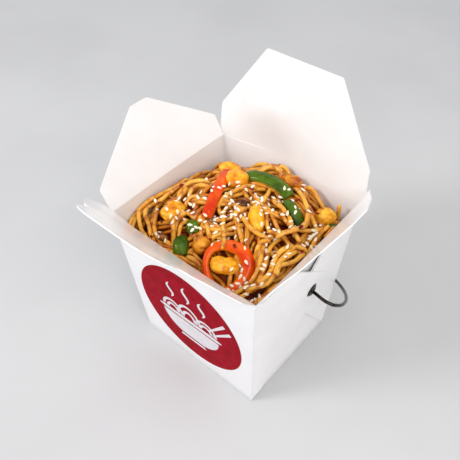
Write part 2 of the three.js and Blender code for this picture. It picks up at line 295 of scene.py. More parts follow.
disc_points = [on_front_wall(0, 0, INK)]
rings, spokes = 14, 120
for ring in range(1, rings + 1):
    for spoke in range(spokes):
        turn = 2 * math.pi * spoke / spokes
        across, up = DISC_WIDE / 2 * math.cos(turn), DISC_TALL / 2 * math.sin(turn)
        disc_points.append(on_front_wall(across * ring / rings, up * ring / rings, INK))
disc_faces = [(0, 1 + i, 1 + (i + 1) % spokes) for i in range(spokes)]
disc_faces += flipped(grid_faces(rings, spokes, closed=True, first=1))
disc = lay_mesh("printed_disc", disc_points, disc_faces)

crimson_ink, tree, shader = new_finish("crimson_ink")
ink_shades = [(0.36, (0.285, 0.003, 0.010)), (0.62, (0.375, 0.004, 0.018))]
colour(tree, shader, shades(tree, mottle(tree, 190.0, 5.0), ink_shades))
roughness(tree, shader, 260.0, 0.5, 0.62)
card_grain(tree, shader)
shader.inputs["Specular IOR Level"].default_value = 0.03
disc.data.materials.append(crimson_ink)
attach(disc, "box")


def ink_ribbon(path, widths):
    """A painted stroke along path, as points and faces on the front wall."""
    made = []
    for i, (px, py) in enumerate(path):
        ax, ay = path[max(i - 1, 0)]
        bx, by = path[min(i + 1, len(path) - 1)]
        length = math.hypot(bx - ax, by - ay)
        nx, ny = -(by - ay) / length, (bx - ax) / length
        half = widths[i] / 2
        for j in range(3):
            side = (j - 1) * half
            made.append(on_front_wall(px + nx * side, py + ny * side, 2 * INK))
    return made, flipped(grid_faces(len(path), 3))


def ink_rows(rows):
    """A filled field between the left and right ends of each row."""
    made, columns = [], 24
    for left, right, up in rows:
        for j in range(columns):
            made.append(on_front_wall(left + (right - left) * j / (columns - 1), up, 2 * INK))
    return made, grid_faces(len(rows), columns)


strokes = []
bowl = []
for i in range(15):
    down = i / 14
    half = 22.0 * math.sqrt(max(0.0, 1 - (0.93 * down) ** 2)) ** 0.9
    bowl.append((-half, half, -6.0 - 16.0 * down))
strokes.append(ink_rows(bowl))
strokes.append(ink_rows([(-9.5, 9.5, -23.4), (-9.8, 9.8, -24.6), (-10.5, 10.5, -25.8)]))
rim = [(-24.5 + 49 * i / 24, -3.2) for i in range(25)]
strokes.append(ink_ribbon(rim, [3.4 * min(1, 0.35 + 0.35 * min(i, 24 - i)) for i in range(25)]))
for at, high, wide in ((-13.0, 8.5, 7.5), (0.0, 12.5, 8.5), (13.0, 8.5, 7.5)):
    for inner in (1.0, 0.55):
        arch = []
        for i in range(19):
            turn = math.pi * i / 18
            arch.append((at - wide * inner * math.cos(turn), -0.6 + high * inner * math.sin(turn)))
        strokes.append(ink_ribbon(arch, [2.1] * 19))
for at, low, high in ((-12.0, 13.5, 27.0), (0.5, 16.5, 31.5), (12.0, 13.5, 27.0)):
    steam = [(at + 1.7 * math.sin(2 * math.pi * i / 16), low + (high - low) * i / 16) for i in range(17)]
    strokes.append(ink_ribbon(steam, [0.5 + 1.9 * math.sin(math.pi * i / 16) for i in range(17)]))
for x, y, across, up in ((18.5, 0.4, 14.0, 15.1), (15.4, 2.6, 13.0, 17.2)):
    stick = [(x + across * i / 8, y + up * i / 8) for i in range(9)]
    strokes.append(ink_ribbon(stick, [1.2 + 0.14 * i for i in range(9)]))
motif_points, motif_faces = [], []
for made, faces in strokes:
    first = len(motif_points)
    motif_points += made
    motif_faces += [tuple(first + v for v in f) for f in faces]
motif = lay_mesh("printed_bowl", motif_points, motif_faces)

pale_ink, tree, shader = new_finish("pale_unprinted_card")
pale_shades = [(0.36, (0.74, 0.70, 0.74)), (0.62, (0.82, 0.79, 0.82))]
colour(tree, shader, shades(tree, mottle(tree, 140.0, 4.0), pale_shades))
roughness(tree, shader, 220.0, 0.36, 0.5)
card_grain(tree, shader)
motif.data.materials.append(pale_ink)
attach(motif, "box")


# ------------------------------------------------------------------------------------------------
# Corner webs
# At each corner the card between two walls is folded into a three-cornered web of two layers. The
# webs turn round onto the side walls, the front one lapping the back one, and both have a hole for
# the wire. They stand off the wall like a shallow pocket.
HOLE_Y, HOLE_Z, HOLE_RADIUS = 0.0, 80.0, 4.3
HOLE_SIDES, PUNCH_NEAR, PUNCH_FAR = 40, 1.2, 14
WEB_SPRING, WEB_RIDGE = 0.083, 12.0
# The crease's height, and the distance along Y and height of the web's free edge at each row.
WEB_OUTLINE = [
    (1, -37.6, 1.6), (14, -27.8, 16), (28, -17.4, 31.3), (42, -7, 46.5), (56, 3.2, 61.5),
    (70, 13.2, 76), (76, 15.6, 79.6), (79, 15.4, 80.8), (82, 13.9, 82.4), (88, 10, 86.5),
    (98, -1.5, 96.3), (105.4, -11, 104), (108.4, -21, 108.4),
]
FOLD_ROWS = 6


def web_stand_off(y, z):
    bulge = 1 - 0.6 * ease(HOLE_Z - z, 0, 60) - 0.5 * ease(z - HOLE_Z, 2, 20)
    to_rim = 1 - ease(z, 99, 108.6)
    ridge = math.hypot(half_y(z), WEB_RIDGE) - math.hypot(y, WEB_RIDGE)
    return WEB_SPRING * bulge * to_rim * ridge


def corner_web(name, side, end):
    lap = 1.0 if end < 0 else 0.0
    columns, fine = 26, 4
    rows = []
    for k in range(len(WEB_OUTLINE) - 1):
        for i in range(fine):
            share = i / fine
            rows.append([a + (b - a) * share for a, b in zip(WEB_OUTLINE[k], WEB_OUTLINE[k + 1])])
    rows.append(list(WEB_OUTLINE[-1]))
    tip_row = fine * (FOLD_ROWS + 1)
    outer, inner = [], []
    for index, (crease_z, end_y, end_z) in enumerate(rows):
        for c in range(columns):
            share = c / (columns - 1)
            y = -half_y(crease_z) + (end_y + half_y(crease_z)) * share
            z = crease_z + (end_z - crease_z) * share
            from_crease = y + half_y(z)
            near = min(1.0, from_crease / 4)
            at_rim = float(ease(z, 100, 108.4))
            base = half_x(z) + web_stand_off(y, z)
            base += lap * ease(from_crease, 0, 12) * (1 - 0.8 * at_rim)
            bow = bow_right if side > 0 else bow_left
            base += bow(min(1.0, max(-1.0, y / half_y(z))), z)
            open_edge = ease(index, tip_row, tip_row + 8)
            open_edge *= 1 - ease(index, len(rows) - 9, len(rows) - 1)
            pocket = 0.06 + 0.1 * open_edge * share ** 3
            depth = (0.08 + 0.87 * min(1.0, from_crease / 5) + pocket * near) * (0.2 + 0.8 * near)
            low = base - 0.22 * (1 - near)
            outer.append((side * (low + depth), -end * y, z))
            inner.append((side * low, -end * y, z))
    count = len(rows)
    points = outer + inner
    faces = grid_faces(count, columns)
    second = count * columns
    faces += flipped(grid_faces(count, columns, first=second))
    for r in range(tip_row):
        a, b = r * columns + columns - 1, (r + 1) * columns + columns - 1
        faces.append((a, second + a, second + b, b))
    if side * end > 0:
        faces = flipped(faces)
    web = lay_mesh(name, points, faces)
    thicken(web, 0.42, -1.0)
    drill_points = []
    for away in (PUNCH_NEAR, PUNCH_FAR):
        reach = side * (half_x(HOLE_Z) + away)
        for i in range(HOLE_SIDES):
            turn = 2 * math.pi * i / HOLE_SIDES
            y, z = HOLE_Y + HOLE_RADIUS * math.cos(turn), HOLE_Z + HOLE_RADIUS * math.sin(turn)
            drill_points.append((reach, y, z))
    drill_faces = grid_faces(2, HOLE_SIDES, closed=True) + end_caps(0, 2 * HOLE_SIDES, HOLE_SIDES)
    if side < 0:
        drill_faces = flipped(drill_faces)
    drill = lay_mesh("punch", drill_points, drill_faces)
    punched = web.modifiers.new("hole", "BOOLEAN")
    punched.operation = "DIFFERENCE"
    punched.solver = "EXACT"
    punched.use_self = True
    punched.object = drill
    settle(web, 40)
    bpy.data.objects.remove(drill)
    web.data.materials.clear()
    web.data.materials.append(white_card)
    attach(web, "box")


corner_web("web_right_front", 1, -1)
corner_web("web_right_back", 1, 1)
corner_web("web_left_front", -1, -1)
corner_web("web_left_back", -1, 1)


# ------------------------------------------------------------------------------------------------
# Lid flaps
# Four flaps of the same card, creased at the rim and standing open. The two side flaps are short,
# the back one is long, and the front one ends in a tongue that is slit free to lock the lid.
# Each is one sheet that leans out from its crease at the rim.
def rounded(outline, radius):
    """The outline with each inner corner cut into a short arc."""
    made = [outline[0]]
    for before, corner, after in zip(outline, outline[1:], outline[2:]):
        near = math.dist(before, corner)
        far = math.dist(corner, after)
        cut = min(radius, near / 2.2, far / 2.2)
        start = [c + (b - c) * cut / near for c, b in zip(corner, before)]
        stop = [c + (a - c) * cut / far for c, a in zip(corner, after)]
        for i in range(6):
            share = i / 5
            made.append(tuple(
                (1 - share) ** 2 * s + 2 * share * (1 - share) * c + share ** 2 * e
                for s, c, e in zip(start, corner, stop)))
    made.append(outline[-1])
    return made


def flap_rows(outline, columns):
    """Rows of (along, up) points that fill a right-half outline mirrored to both sides."""
    steps_up = sorted({round(t, 3) for _, t in outline} | {round(1.5 * i, 3) for i in range(60)})
    rows = []
    ups, wides = zip(*sorted((t, s) for s, t in outline))
    for t in steps_up:
        if t <= ups[-1]:
            wide = float(np.interp(t, ups, wides))
            rows.append([(wide * (-1 + 2 * c / (columns - 1)), t) for c in range(columns)])
    return rows


def lid_flap(name, node, rows_sets, reach, heading, lean, sag):
    """Sheet points (along, up) standing on one rim crease and leaning out from it. heading turns it from +Y
    round to its wall.
    """
    turn = math.radians(heading)
    out = (-math.sin(turn), math.cos(turn))
    along = (math.cos(turn), math.sin(turn))
    points, faces = [], []
    for rows in rows_sets:
        faces += grid_faces(len(rows), len(rows[0]), first=len(points))
        for row in rows:
            for s, t in row:
                flare, tilt, slide = sag(s, t)
                angle = math.radians(lean + tilt)
                push = reach - CARD / 2 + t * math.sin(angle) + flare
                z = WALL_HEIGHT + t * math.cos(angle)
                s += slide
                points.append((along[0] * s + out[0] * push, along[1] * s + out[1] * push, z))
    flap = lay_mesh(name, points, faces)
    weld = flap.modifiers.new("weld", "WELD")
    weld.merge_threshold = 0.02 * MM
    settle(flap)
    thicken(flap, CARD, 0.0)
    flap.data.materials.clear()
    flap.data.materials.append(white_card)
    line_inside(flap, filmed_card)
    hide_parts(node)
    angle = math.radians(lean)

    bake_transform(flap)


def fading(bow, t, reach):
    return bow * (1 - float(ease(t, 0, reach)))


side_outline = rounded([(46.3, -0.3), (46.3, 13.5), (6, 43.5), (0, 43.5)], 1.2)
back_outline = rounded([(49.7, -0.3), (52.3, 4.5), (52.3, 21), (24, 64), (0, 64)], 1.2)
SLIT_OUT, SLIT_IN, SLIT_LOW, SLIT_HIGH = 34.1, 15.4, 40.4, 46.9
front_outline = rounded([(49.7, -0.3), (52.3, 4.5), (52.3, 20.5), (SLIT_OUT, SLIT_LOW),
                         (SLIT_IN, SLIT_HIGH), (SLIT_IN, SLIT_HIGH + 0.4)], 1.0)


def right_sag(s, t):
    # Its two ends spring back and stand more upright than its middle.
    upright = 10.5 * float(ease(-s, 28, 46)) + 4 * float(ease(s, 28, 46))
    return fading(bow_right(min(1, abs(s) / 46.3), WALL_HEIGHT), t, 40), -upright, 0.0


def left_sag(s, t):
    return fading(bow_left(min(1, abs(s) / 46.3), WALL_HEIGHT), t, 40), 0.0, 0.0


def back_sag(s, t):
    slide = -1.7 * float(ease(s, 20, 52)) * float(ease(t, 2, 20))
    return fading(bow_back(max(-1, min(1, s / 50)), WALL_HEIGHT), t, 32), 0.0, slide


def front_sag(s, t):
    # Its ears rise nearly upright from the crease before they lean out, and the tongue leans furthest.
    ear = 43 * math.exp(-t / 5.6) * float(ease(abs(s), 24, 50))
    bow = bow_front(max(-1, min(1, s / 50)), WALL_HEIGHT)
    return fading(bow, t, 60), 1.5 * float(ease(t, 30, 60)) - ear, 0.0


side_rows, back_rows = flap_rows(side_outline, 45), flap_rows(back_outline, 49)
lid_flap("lid_left", "flap_left", [side_rows], RIM_X / 2, 90, 30, left_sag)
lid_flap("lid_right", "flap_right", [side_rows], RIM_X / 2, -90, 30, right_sag)
lid_flap("lid_back", "flap_back", [back_rows], RIM_Y / 2, 0, 7.5, back_sag)

# The tongue's sheet is split into its middle, which goes on from the flap, and two free wings.
TONGUE_HALF, TONGUE_ROOT, TONGUE_TIP = 29.0, 42.7, 60.9
TONGUE_BLUNT = 0.6
wing = [TONGUE_HALF * math.cos(math.pi / 2 * (1 - i / 12)) ** TONGUE_BLUNT for i in range(13)]
wing = [SLIT_IN] + [s for s in wing if s > SLIT_IN + 0.4]
tongue_columns = [-s for s in reversed(wing)]
tongue_columns += [SLIT_IN * (-1 + 2 * i / 48) for i in range(1, 48)] + wing
tongue = []
for i in range(15):
    row = []
    for s in tongue_columns:
        past_slit = max(SLIT_IN, abs(s)) - SLIT_IN
        root = SLIT_HIGH + 0.4 - (SLIT_HIGH + 0.4 - TONGUE_ROOT) * past_slit / (TONGUE_HALF - SLIT_IN)
        angle = math.acos(min(1.0, abs(s) / TONGUE_HALF) ** (1 / TONGUE_BLUNT))
        high = max(root + 0.05, TONGUE_ROOT + (TONGUE_TIP - TONGUE_ROOT) * math.sin(angle) ** 0.97)
        row.append((s, root + (high - root) * i / 14))
    tongue.append(row)
front_rows = flap_rows(front_outline, 49)
lid_flap("lid_front", "flap_front", [front_rows, tongue], RIM_Y / 2, 180, 35.3, front_sag)


# ------------------------------------------------------------------------------------------------
# Wire handle
# One length of dark lacquered steel wire, bent into a flat-sided arch. Each end is wound into an eye
# in the hole of the webs and hooks behind them, so the handle swings down behind the box.
WIRE_RADIUS = 1.0
EYE_TURNS, EYE_REACH, EYE_DEEP = 3.2, 2.95, 53.3
PIVOT_Y, PIVOT_Z = 0.5, 78.0
HANG = math.radians(-40.5)


def smooth_path(knots, steps):
    """A Catmull-Rom curve through knots, with even parameter steps between them."""
    knots = np.array(knots, float)
    padded = np.vstack([2 * knots[0] - knots[1], knots, 2 * knots[-1] - knots[-2]])
    made = []
    for k in range(1, len(padded) - 2):
        p0, p1, p2, p3 = padded[k - 1:k + 3]
        for i in range(steps):
            u = i / steps
            made.append(0.5 * (2 * p1 + (p2 - p0) * u + (2 * p0 - 5 * p1 + 4 * p2 - p3) * u ** 2
                               + (3 * p1 - p0 - 3 * p2 + p3) * u ** 3))
    made.append(padded[-2])
    return np.array(made)


def directions(path):
    ahead = np.gradient(path, axis=0)
    return ahead / np.linalg.norm(ahead, axis=1)[:, None]


def tube_rings(path, radii, sides):
    """Rings of points round a path, kept from twisting by carrying each frame on to the next."""
    path = np.array(path, float)
    ahead = directions(path)
    side = np.cross(ahead[0], (0.0, 0.0, 1.0))
    if np.linalg.norm(side) < 1e-3:
        side = np.array((1.0, 0.0, 0.0))
    rings = []
    for point, way, radius in zip(path, ahead, radii):
        side = side - way * np.dot(side, way)
        side = side / np.linalg.norm(side)
        up = np.cross(side, way)
        for i in range(sides):
            turn = 2 * math.pi * i / sides
            rings.append(point + radius * (side * math.cos(turn) + up * math.sin(turn)))
    return rings


# Half of the arch as (along X, out from the pivot): the hook, the kink at the hole, and the bend.
half_arch = [(49.85, -5.5), (49.85, -1.6), (50.95, 0.2), (54.75, 0.8),
             (59.5, -1.5), (63.1, -2.6), (65.8, -1.6), (67.6, 0.6)]
for i in range(9):
    turn = 0.08 + (math.pi / 2 - 0.08) * i / 9
    half_arch.append((69 * math.cos(turn), 2.8 + 72.9 * math.sin(turn)))
arch = half_arch + [(0, 75.7)] + [(-x, out) for x, out in reversed(half_arch)]
wire_knots = [(x, PIVOT_Y + out * math.cos(HANG), PIVOT_Z + out * math.sin(HANG)) for x, out in arch]
wire_path = smooth_path(wire_knots, 7)
wire_points = tube_rings(wire_path, [WIRE_RADIUS] * len(wire_path), 12)
wire_faces = grid_faces(len(wire_path), 12, closed=True) + end_caps(0, len(wire_points), 12)
# In each hole the wire is wound into a tight eye that fills the hole and turns in it.
for side in (-1, 1):
    eye = []
    for i in range(121):
        turn = 2 * math.pi * EYE_TURNS * i / 120
        reach = min(EYE_REACH, 1.0 + 2.6 * i / 80)
        deep = EYE_DEEP - 0.8 * max(0.0, i / 120 - 0.55) / 0.45
        eye.append((side * deep, HOLE_Y + reach * math.cos(turn), HOLE_Z + reach * math.sin(turn)))
    first = len(wire_points)
    wire_points += tube_rings(eye, [WIRE_RADIUS * 0.88] * len(eye), 10)
    wire_faces += grid_faces(len(eye), 10, closed=True, first=first)
    wire_faces += end_caps(first, len(wire_points), 10)
handle = lay_mesh("wire_handle", wire_points, wire_faces)

dark_lacquer, tree, shader = new_finish("dark_lacquered_wire")
lacquer_shades = [(0.35, (0.004, 0.002, 0.001)), (0.65, (0.020, 0.006, 0.002))]
colour(tree, shader, shades(tree, mottle(tree, 260.0, 4.0), lacquer_shades))
roughness(tree, shader, 400.0, 0.16, 0.3)
relief(tree, shader, mottle(tree, 1400.0, 3.0), 0.02, 0.5)
gloss(shader, 0.2, 0.35, 0.06)
handle.data.materials.append(dark_lacquer)
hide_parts("handle")
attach(handle, "bail")


# ------------------------------------------------------------------------------------------------
# Noodles
# A heap of round wheat noodles in a dark, oily sauce, filled up to the rim and domed above it. A
# dark core stands for the sauce-soaked noodles below, and its colour is partly painted shade for the
# deep gaps. The strands that show are laid on it one by one: each drops onto what lies under it,
# drapes over it and tucks in at its ends. Strands that lie deeper under the heap's top are painted
# darker, as painted shade.
HEAP_TOP = 110.5
CORE_DROP = 7.6
STRAND_RADIUS = 1.22
STRAND_REACH_X, STRAND_REACH_Y = 47.4, 44.0
STIFFNESS, SQUEEZE = 0.04, 0.5
CORE_INSET = 0.95
CELL = 0.5
GRID_X = np.arange(-49.5, 49.6, CELL)
GRID_Y = np.arange(-46.5, 46.6, CELL)


def heap_height(x, y):
    """The heap's top: highest in the middle, and lower towards each wall."""
    left = 11 * ease(-x, 24, 49)
    left_rear = 4 * ease(-x, 30, 49) * ease(y, 0, 22)
    right = 8 * ease(x, 18, 50)
    front = 13 * ease(-y, 16, 46)
    west = 1 - ease(x, -18, -4)
    east = ease(x, 12, 32)
    back = ease(y, 22, 47) * (11 * west + 4 * (1 - west) * (1 - east) + 12 * east)
    return HEAP_TOP - left - left_rear - right - front - back


def core_height(x, y):
    lump = noise.noise((x * 0.12, y * 0.12, 3.0)) + 0.5 * noise.noise((x * 0.35, y * 0.35, 8.0))
    return float(heap_height(x, y)) - CORE_DROP + 0.9 * lump


core_points = []
cells = 60
for r in range(cells + 1):
    for c in range(cells + 1):
        u, v = -1 + 2 * c / cells, -1 + 2 * r / cells
        z = core_height(u * 48, v * 44)
        core_points.append((u * (half_x(z) - CORE_INSET), v * (half_y(z) - CORE_INSET), z))
core_faces = grid_faces(cells + 1, cells + 1)
edge = list(range(cells + 1))
edge += [r * (cells + 1) + cells for r in range(1, cells + 1)]
edge += [cells * (cells + 1) + c for c in range(cells - 1, -1, -1)]
edge += [r * (cells + 1) for r in range(cells - 1, 0, -1)]
foot = len(core_points)
for v in edge:
    x, y, z = core_points[v]
    low_x = x * (half_x(CORE_INSET) - CORE_INSET) / (half_x(z) - CORE_INSET)
    low_y = y * (half_y(CORE_INSET) - CORE_INSET) / (half_y(z) - CORE_INSET)
    core_points.append((low_x, low_y, CORE_INSET))
for i in range(len(edge)):
    j = (i + 1) % len(edge)
    core_faces.append((edge[j], edge[i], foot + i, foot + j))
core_faces.append(tuple(foot + i for i in reversed(range(len(edge)))))
core = lay_mesh("noodle_core", core_points, core_faces)

# Height of the heap so far over each cell, the underside of the toppings, and their tops.
heap_now = np.array([[core_height(x, y) for y in GRID_Y] for x in GRID_X])
ceiling = np.full(heap_now.shape, 999.0)
topping_top = np.full(heap_now.shape, -999.0)
TOPPINGS = [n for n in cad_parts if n.startswith(("nut_", "red_", "green_", "mushroom_"))]
for node in sorted(TOPPINGS):
    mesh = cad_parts[node].data
    corners = [v.co / MM for v in mesh.vertices]
    shell = BVHTree.FromPolygons(corners, [tuple(p.vertices) for p in mesh.polygons])
    low, high = (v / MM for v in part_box(node))
    for ix in range(*np.searchsorted(GRID_X, (low.x, high.x))):
        for iy in range(*np.searchsorted(GRID_Y, (low.y, high.y))):
            above = shell.ray_cast(Vector((GRID_X[ix], GRID_Y[iy], 200)), Vector((0, 0, -1)))[0]
            below = shell.ray_cast(Vector((GRID_X[ix], GRID_Y[iy], 0)), Vector((0, 0, 1)))[0]
            if above and below:
                topping_top[ix, iy] = max(topping_top[ix, iy], above.z)
                ceiling[ix, iy] = min(ceiling[ix, iy], below.z)

reach_cells = range(-3, 4)
dips = [(i, j, math.sqrt(STRAND_RADIUS ** 2 - (CELL * math.hypot(i, j)) ** 2))
        for i in reach_cells for j in reach_cells if CELL * math.hypot(i, j) < STRAND_RADIUS]
dip_i, dip_j, dip_z = (np.array(column) for column in zip(*dips))


def cells_at(x, y):
    i = np.clip(np.rint((x - GRID_X[0]) / CELL).astype(int), 3, len(GRID_X) - 4)
    j = np.clip(np.rint((y - GRID_Y[0]) / CELL).astype(int), 3, len(GRID_Y) - 4)
    return i, j


def resting(x, y, over):
    """Centre height at which a strand laid at each point touches what is under it."""
    i, j = cells_at(x, y)
    ground = heap_now[i[:, None] + dip_i, j[:, None] + dip_j]
    if over:
        ground = np.maximum(ground, topping_top[i[:, None] + dip_i, j[:, None] + dip_j])
    return (ground + dip_z).max(axis=1)


def eased(values, reach):
    """The values smoothed along a strand, over reach points each way."""
    weights = np.array([1 + math.cos(math.pi * k / (reach + 1)) for k in range(-reach, reach + 1)])
    return np.convolve(np.pad(values, reach, mode="edge"), weights / weights.sum(), mode="valid")


def drape(height):
    """A soft strand hangs between its highest rests in shallow arcs."""
    places = np.arange(len(height))
    arcs = [height[np.clip(places + step, 0, places[-1])] - STIFFNESS * step ** 2 for step in range(-9, 10)]
    return eased(np.max(arcs, axis=0), 4) - SQUEEZE


def tuck(z, length, ends):
    away = np.minimum(np.arange(len(z)), np.arange(len(z))[::-1]) * (length / (len(z) - 1))
    return z - ends * np.exp(-(away / 2.4) ** 2)


def wander(rng, x, y, heading, length):
    """A slow random curve on the heap, turned back where it nears a wall."""
    bend = rng.uniform(-0.03, 0.03)
    swing = rng.uniform(0.01, 0.045)
    wave = rng.uniform(0.07, 0.16)
    phase = rng.uniform(0, 2 * math.pi)
    path = []
    for step in range(int(length)):
        path.append((x, y))
        heading += bend + swing * math.sin(phase + wave * step)
        over = max(abs(x) / STRAND_REACH_X, abs(y) / STRAND_REACH_Y)
        if over > 0.86:
            home = math.atan2(-y, -x)
            turn = math.atan2(math.sin(home - heading), math.cos(home - heading))
            heading += max(-0.2, min(0.2, turn * (over - 0.86) * 1.5))
        x = max(-STRAND_REACH_X, min(STRAND_REACH_X, x + math.cos(heading)))
        y = max(-STRAND_REACH_Y, min(STRAND_REACH_Y, y + math.sin(heading)))
    return np.array(path)


def heights_for(path, over=False):
    x, y = path[:, 0], path[:, 1]
    z = drape(resting(x, y, over))
    if not over:
        i, j = cells_at(x, y)
        under = ceiling[i[:, None] + dip_i, j[:, None] + dip_j].min(axis=1) - 0.25 * STRAND_RADIUS
        low = eased(np.minimum(z, under), 3)
        z = np.where(under < 900, np.minimum(low, z), low)
    return z


def press_in(path, z):
    i, j = cells_at(path[:, 0], path[:, 1])
    np.maximum.at(heap_now, (i[:, None] + dip_i, j[:, None] + dip_j), z[:, None] + dip_z)


target = heap_height(GRID_X[:, None], GRID_Y[None, :]) + 0.6
strands = []


def room_over(path, z):
    i, j = cells_at(path[:, 0], path[:, 1])
    goal = np.minimum(target[i, j], ceiling[i, j] + STRAND_RADIUS)
    return goal - (z + STRAND_RADIUS)


def lay(path, rng, over=False, tone=None, ends=2.4):
    z = tuck(heights_for(path, over), len(path), ends)
    press_in(path, z)
    strands.append((np.column_stack([path, z]), rng.random() if tone is None else tone))


def along_wall(rng):
    """A strand that runs along one wall, a little way off it."""
    wall = rng.choice(("left", "left", "right", "front", "back"))
    sideways = wall in ("left", "right")
    reach, limit = (44.0, 47.3) if sideways else (47.3, 44.0)
    start = rng.uniform(-reach, reach - 26)
    count = int(min(rng.uniform(26, 70), reach - start))
    off, wave, phase = rng.uniform(0.0, 6.5), rng.uniform(0.06, 0.13), rng.uniform(0, 6.3)
    path = []
    for step in range(count):
        away = limit - max(0.0, off + 1.6 * math.sin(phase + wave * step))
        run = start + step
        if wall in ("left", "front"):
            away = -away
        path.append((away, run) if sideways else (run, away))
    return np.array(path)


rng = random.Random(11)
WALL_TRIES, MOST_STRANDS, MOST_MISSES = 150, 300, 14
for _ in range(WALL_TRIES):
    path = along_wall(rng)
    if room_over(path, heights_for(path)).mean() > 0.5:
        lay(path, rng)
misses = 0
while len(strands) < MOST_STRANDS and misses < MOST_MISSES:
    best, best_room = None, -9.0
    space = target - heap_now
    for _ in range(16):
        ix, iy = rng.randrange(6, len(GRID_X) - 6), rng.randrange(6, len(GRID_Y) - 6)
        for _ in range(4):
            jx, jy = rng.randrange(6, len(GRID_X) - 6), rng.randrange(6, len(GRID_Y) - 6)
            if space[jx, jy] > space[ix, iy]:
                ix, iy = jx, jy
        flow = 0.9 * math.sin(GRID_X[ix] * 0.05) + 1.1 * math.cos(GRID_Y[iy] * 0.06)
        heading = flow + rng.gauss(0, 0.8) + rng.choice((0, math.pi))
        path = wander(rng, GRID_X[ix], GRID_Y[iy], heading, rng.uniform(38, 120))
        z = heights_for(path)
        gap = room_over(path, z)
        room = gap.mean() - 2.5 * np.clip(-gap - 0.3, 0, None).mean()
        if room > best_room:
            best, best_room = path, room
    if best_room < 0.15:
        misses += 1
        continue
    lay(best, rng)
    for _ in range(rng.choice((0, 1, 2, 2, 3, 4))):
        ahead = directions(best)
        side = rng.choice((-1, 1)) * (2.4 + 0.5 * np.sin(np.arange(len(best)) * rng.uniform(0.03, 0.08)))
        beside = best + np.column_stack([-ahead[:, 1], ahead[:, 0]]) * side[:, None]
        beside = beside[rng.randrange(0, max(1, len(best) // 4)):]
        beside[:, 0] = np.clip(beside[:, 0], -STRAND_REACH_X, STRAND_REACH_X)
        beside[:, 1] = np.clip(beside[:, 1], -STRAND_REACH_Y, STRAND_REACH_Y)
        if room_over(beside, heights_for(beside)).mean() > 0.1:
            lay(beside, rng)

# The strands that lie on top, as (along X, along Y) points.
TOP_STRANDS = [
    [(9.7, 36.6), (16.6, 33.6), (25.4, 27.7), (32.8, 22.3), (39.9, 18.3), (44.1, 14.3)],
    [(18.2, 6.7), (26.9, 2), (33.5, 0.1), (38, -1.2), (43.4, -1.8), (47.2, -0.2)],
    [(16, 6), (21, 0), (26, -4), (30, -6)],
    [(20, 12), (26, 8.5), (31, 7.5), (36, 10), (41, 15)],
    [(24, 14), (29, 10), (34, 5), (41, 3)],
    [(46.5, -22), (45.5, -30), (42, -36.5), (35, -41.5)],
    [(47, -31), (44.5, -38), (38, -42.5)],
    [(-44, -16), (-41.5, -23), (-38.5, -29), (-34, -34.5), (-28, -37.5)],
    [(-38, -18), (-38.5, -25), (-36, -31), (-30, -34)],
    [(2, -7), (9, -11), (15, -15), (18, -18)],
    [(8, -6), (15, -9), (21, -11), (26, -10), (30, -7)],
    [(-5, -20), (0, -23), (5, -26), (10, -29)],
    [(-18, -20), (-18, -27), (-16, -33), (-12, -39)],
    [(-14, -22), (-15, -27), (-14, -31), (-12, -35)],
    [(-29.9, -15.2), (-34.1, -9), (-34.7, -3.9), (-32.7, -0.4), (-28.5, 2.5), (-22.5, 4.4)],
    [(-26.9, -10.3), (-28.1, -5.3), (-25.9, -2.2), (-20.5, 1.5)],
    [(-16.6, -29), (-20.9, -23.7), (-23.6, -15.6), (-23.2, -10.6), (-19.4, -7.4)],
    [(-9.6, -40.5), (-13.5, -36.4), (-17.4, -31.2), (-20.3, -24.7), (-21.7, -17.9)],
    [(-11, 31), (-9.5, 36), (-6.5, 40.5), (-1, 41), (5, 39.5), (11, 38), (15, 37)],
    [(-9, 31), (-7, 36.5), (-3, 39), (3, 38.5), (9, 36.5)],
    [(-5, 43), (1, 43.5), (8, 42.5), (15, 41.5)],
    [(16.7, 39.3), (22.2, 41.4), (28.3, 39.1), (34.8, 37.3)],
    [(31.3, 23), (35.2, 17.4), (37.3, 10.3), (35.5, 4.7), (31.6, -1.8), (24.8, -5.4)],
    [(-20, -38.3), (-26.8, -36.5), (-32.5, -32.3), (-36.8, -26.7), (-40.9, -21.8), (-41.6, -16)],
    [(-46.5, -40), (-47.2, -28), (-46.8, -18), (-45, -9), (-45.5, 2)],
    [(-45, -42), (-47.2, -35), (-47, -24), (-44.5, -14), (-42.5, -4), (-42, 6)],
    [(-41, -42.5), (-44.5, -36), (-45, -28), (-42, -20), (-40, -12)],
    [(-47, -30), (-43, -34), (-36, -39), (-28, -42)],
    [(-44, -26), (-41, -31), (-35, -34), (-29, -39)],
    [(26, -14), (30, -21), (33, -28), (31, -36), (24, -43)],
    [(29, -13), (33, -20), (36, -28), (34, -36), (28, -43)],
    [(33, -14), (37, -22), (39, -30), (37, -38), (33, -43)],
    [(47, 2), (41, -1), (40, -12), (40, -19), (42, -23), (43, -27), (41, -32), (36, -37)],
    [(40, -1), (37, -10), (39, -18), (41, -23), (41, -28), (39, -32)],
    [(43, -2), (42, -11), (41, -16), (43, -21), (44, -26), (43, -30)],
    [(31, -9), (28, -12), (28, -16), (29, -20), (32, -22)],
    [(46, 0), (46, -7), (45, -13), (43, -18), (44, -21), (46, -23)],
    [(33, 21), (36, 15), (38, 8), (36, 2), (31, -6)],
    [(-6, -35), (0, -35), (5, -36), (9, -35)],
    [(-3, -38), (3, -38), (9, -38)],
    [(-24, -36), (-18, -37), (-13, -38)],
    [(10, 21), (16, 18), (20, 14), (26, 10)],
    [(10, 19), (16, 14), (23, 12), (26, 11)],
    [(20, -37), (25, -38), (30, -35)],
    [(-40, -20), (-39, -14), (-37, -8), (-37, -1)],
    [(-34, -24), (-33, -18), (-30, -12), (-33, -4)],
    [(-2, -10), (-8, -6), (-8, 1), (-6, 8), (-3, 14), (1, 17)],
    [(10, 10), (8, 17), (6, 24), (14, 23)],
]
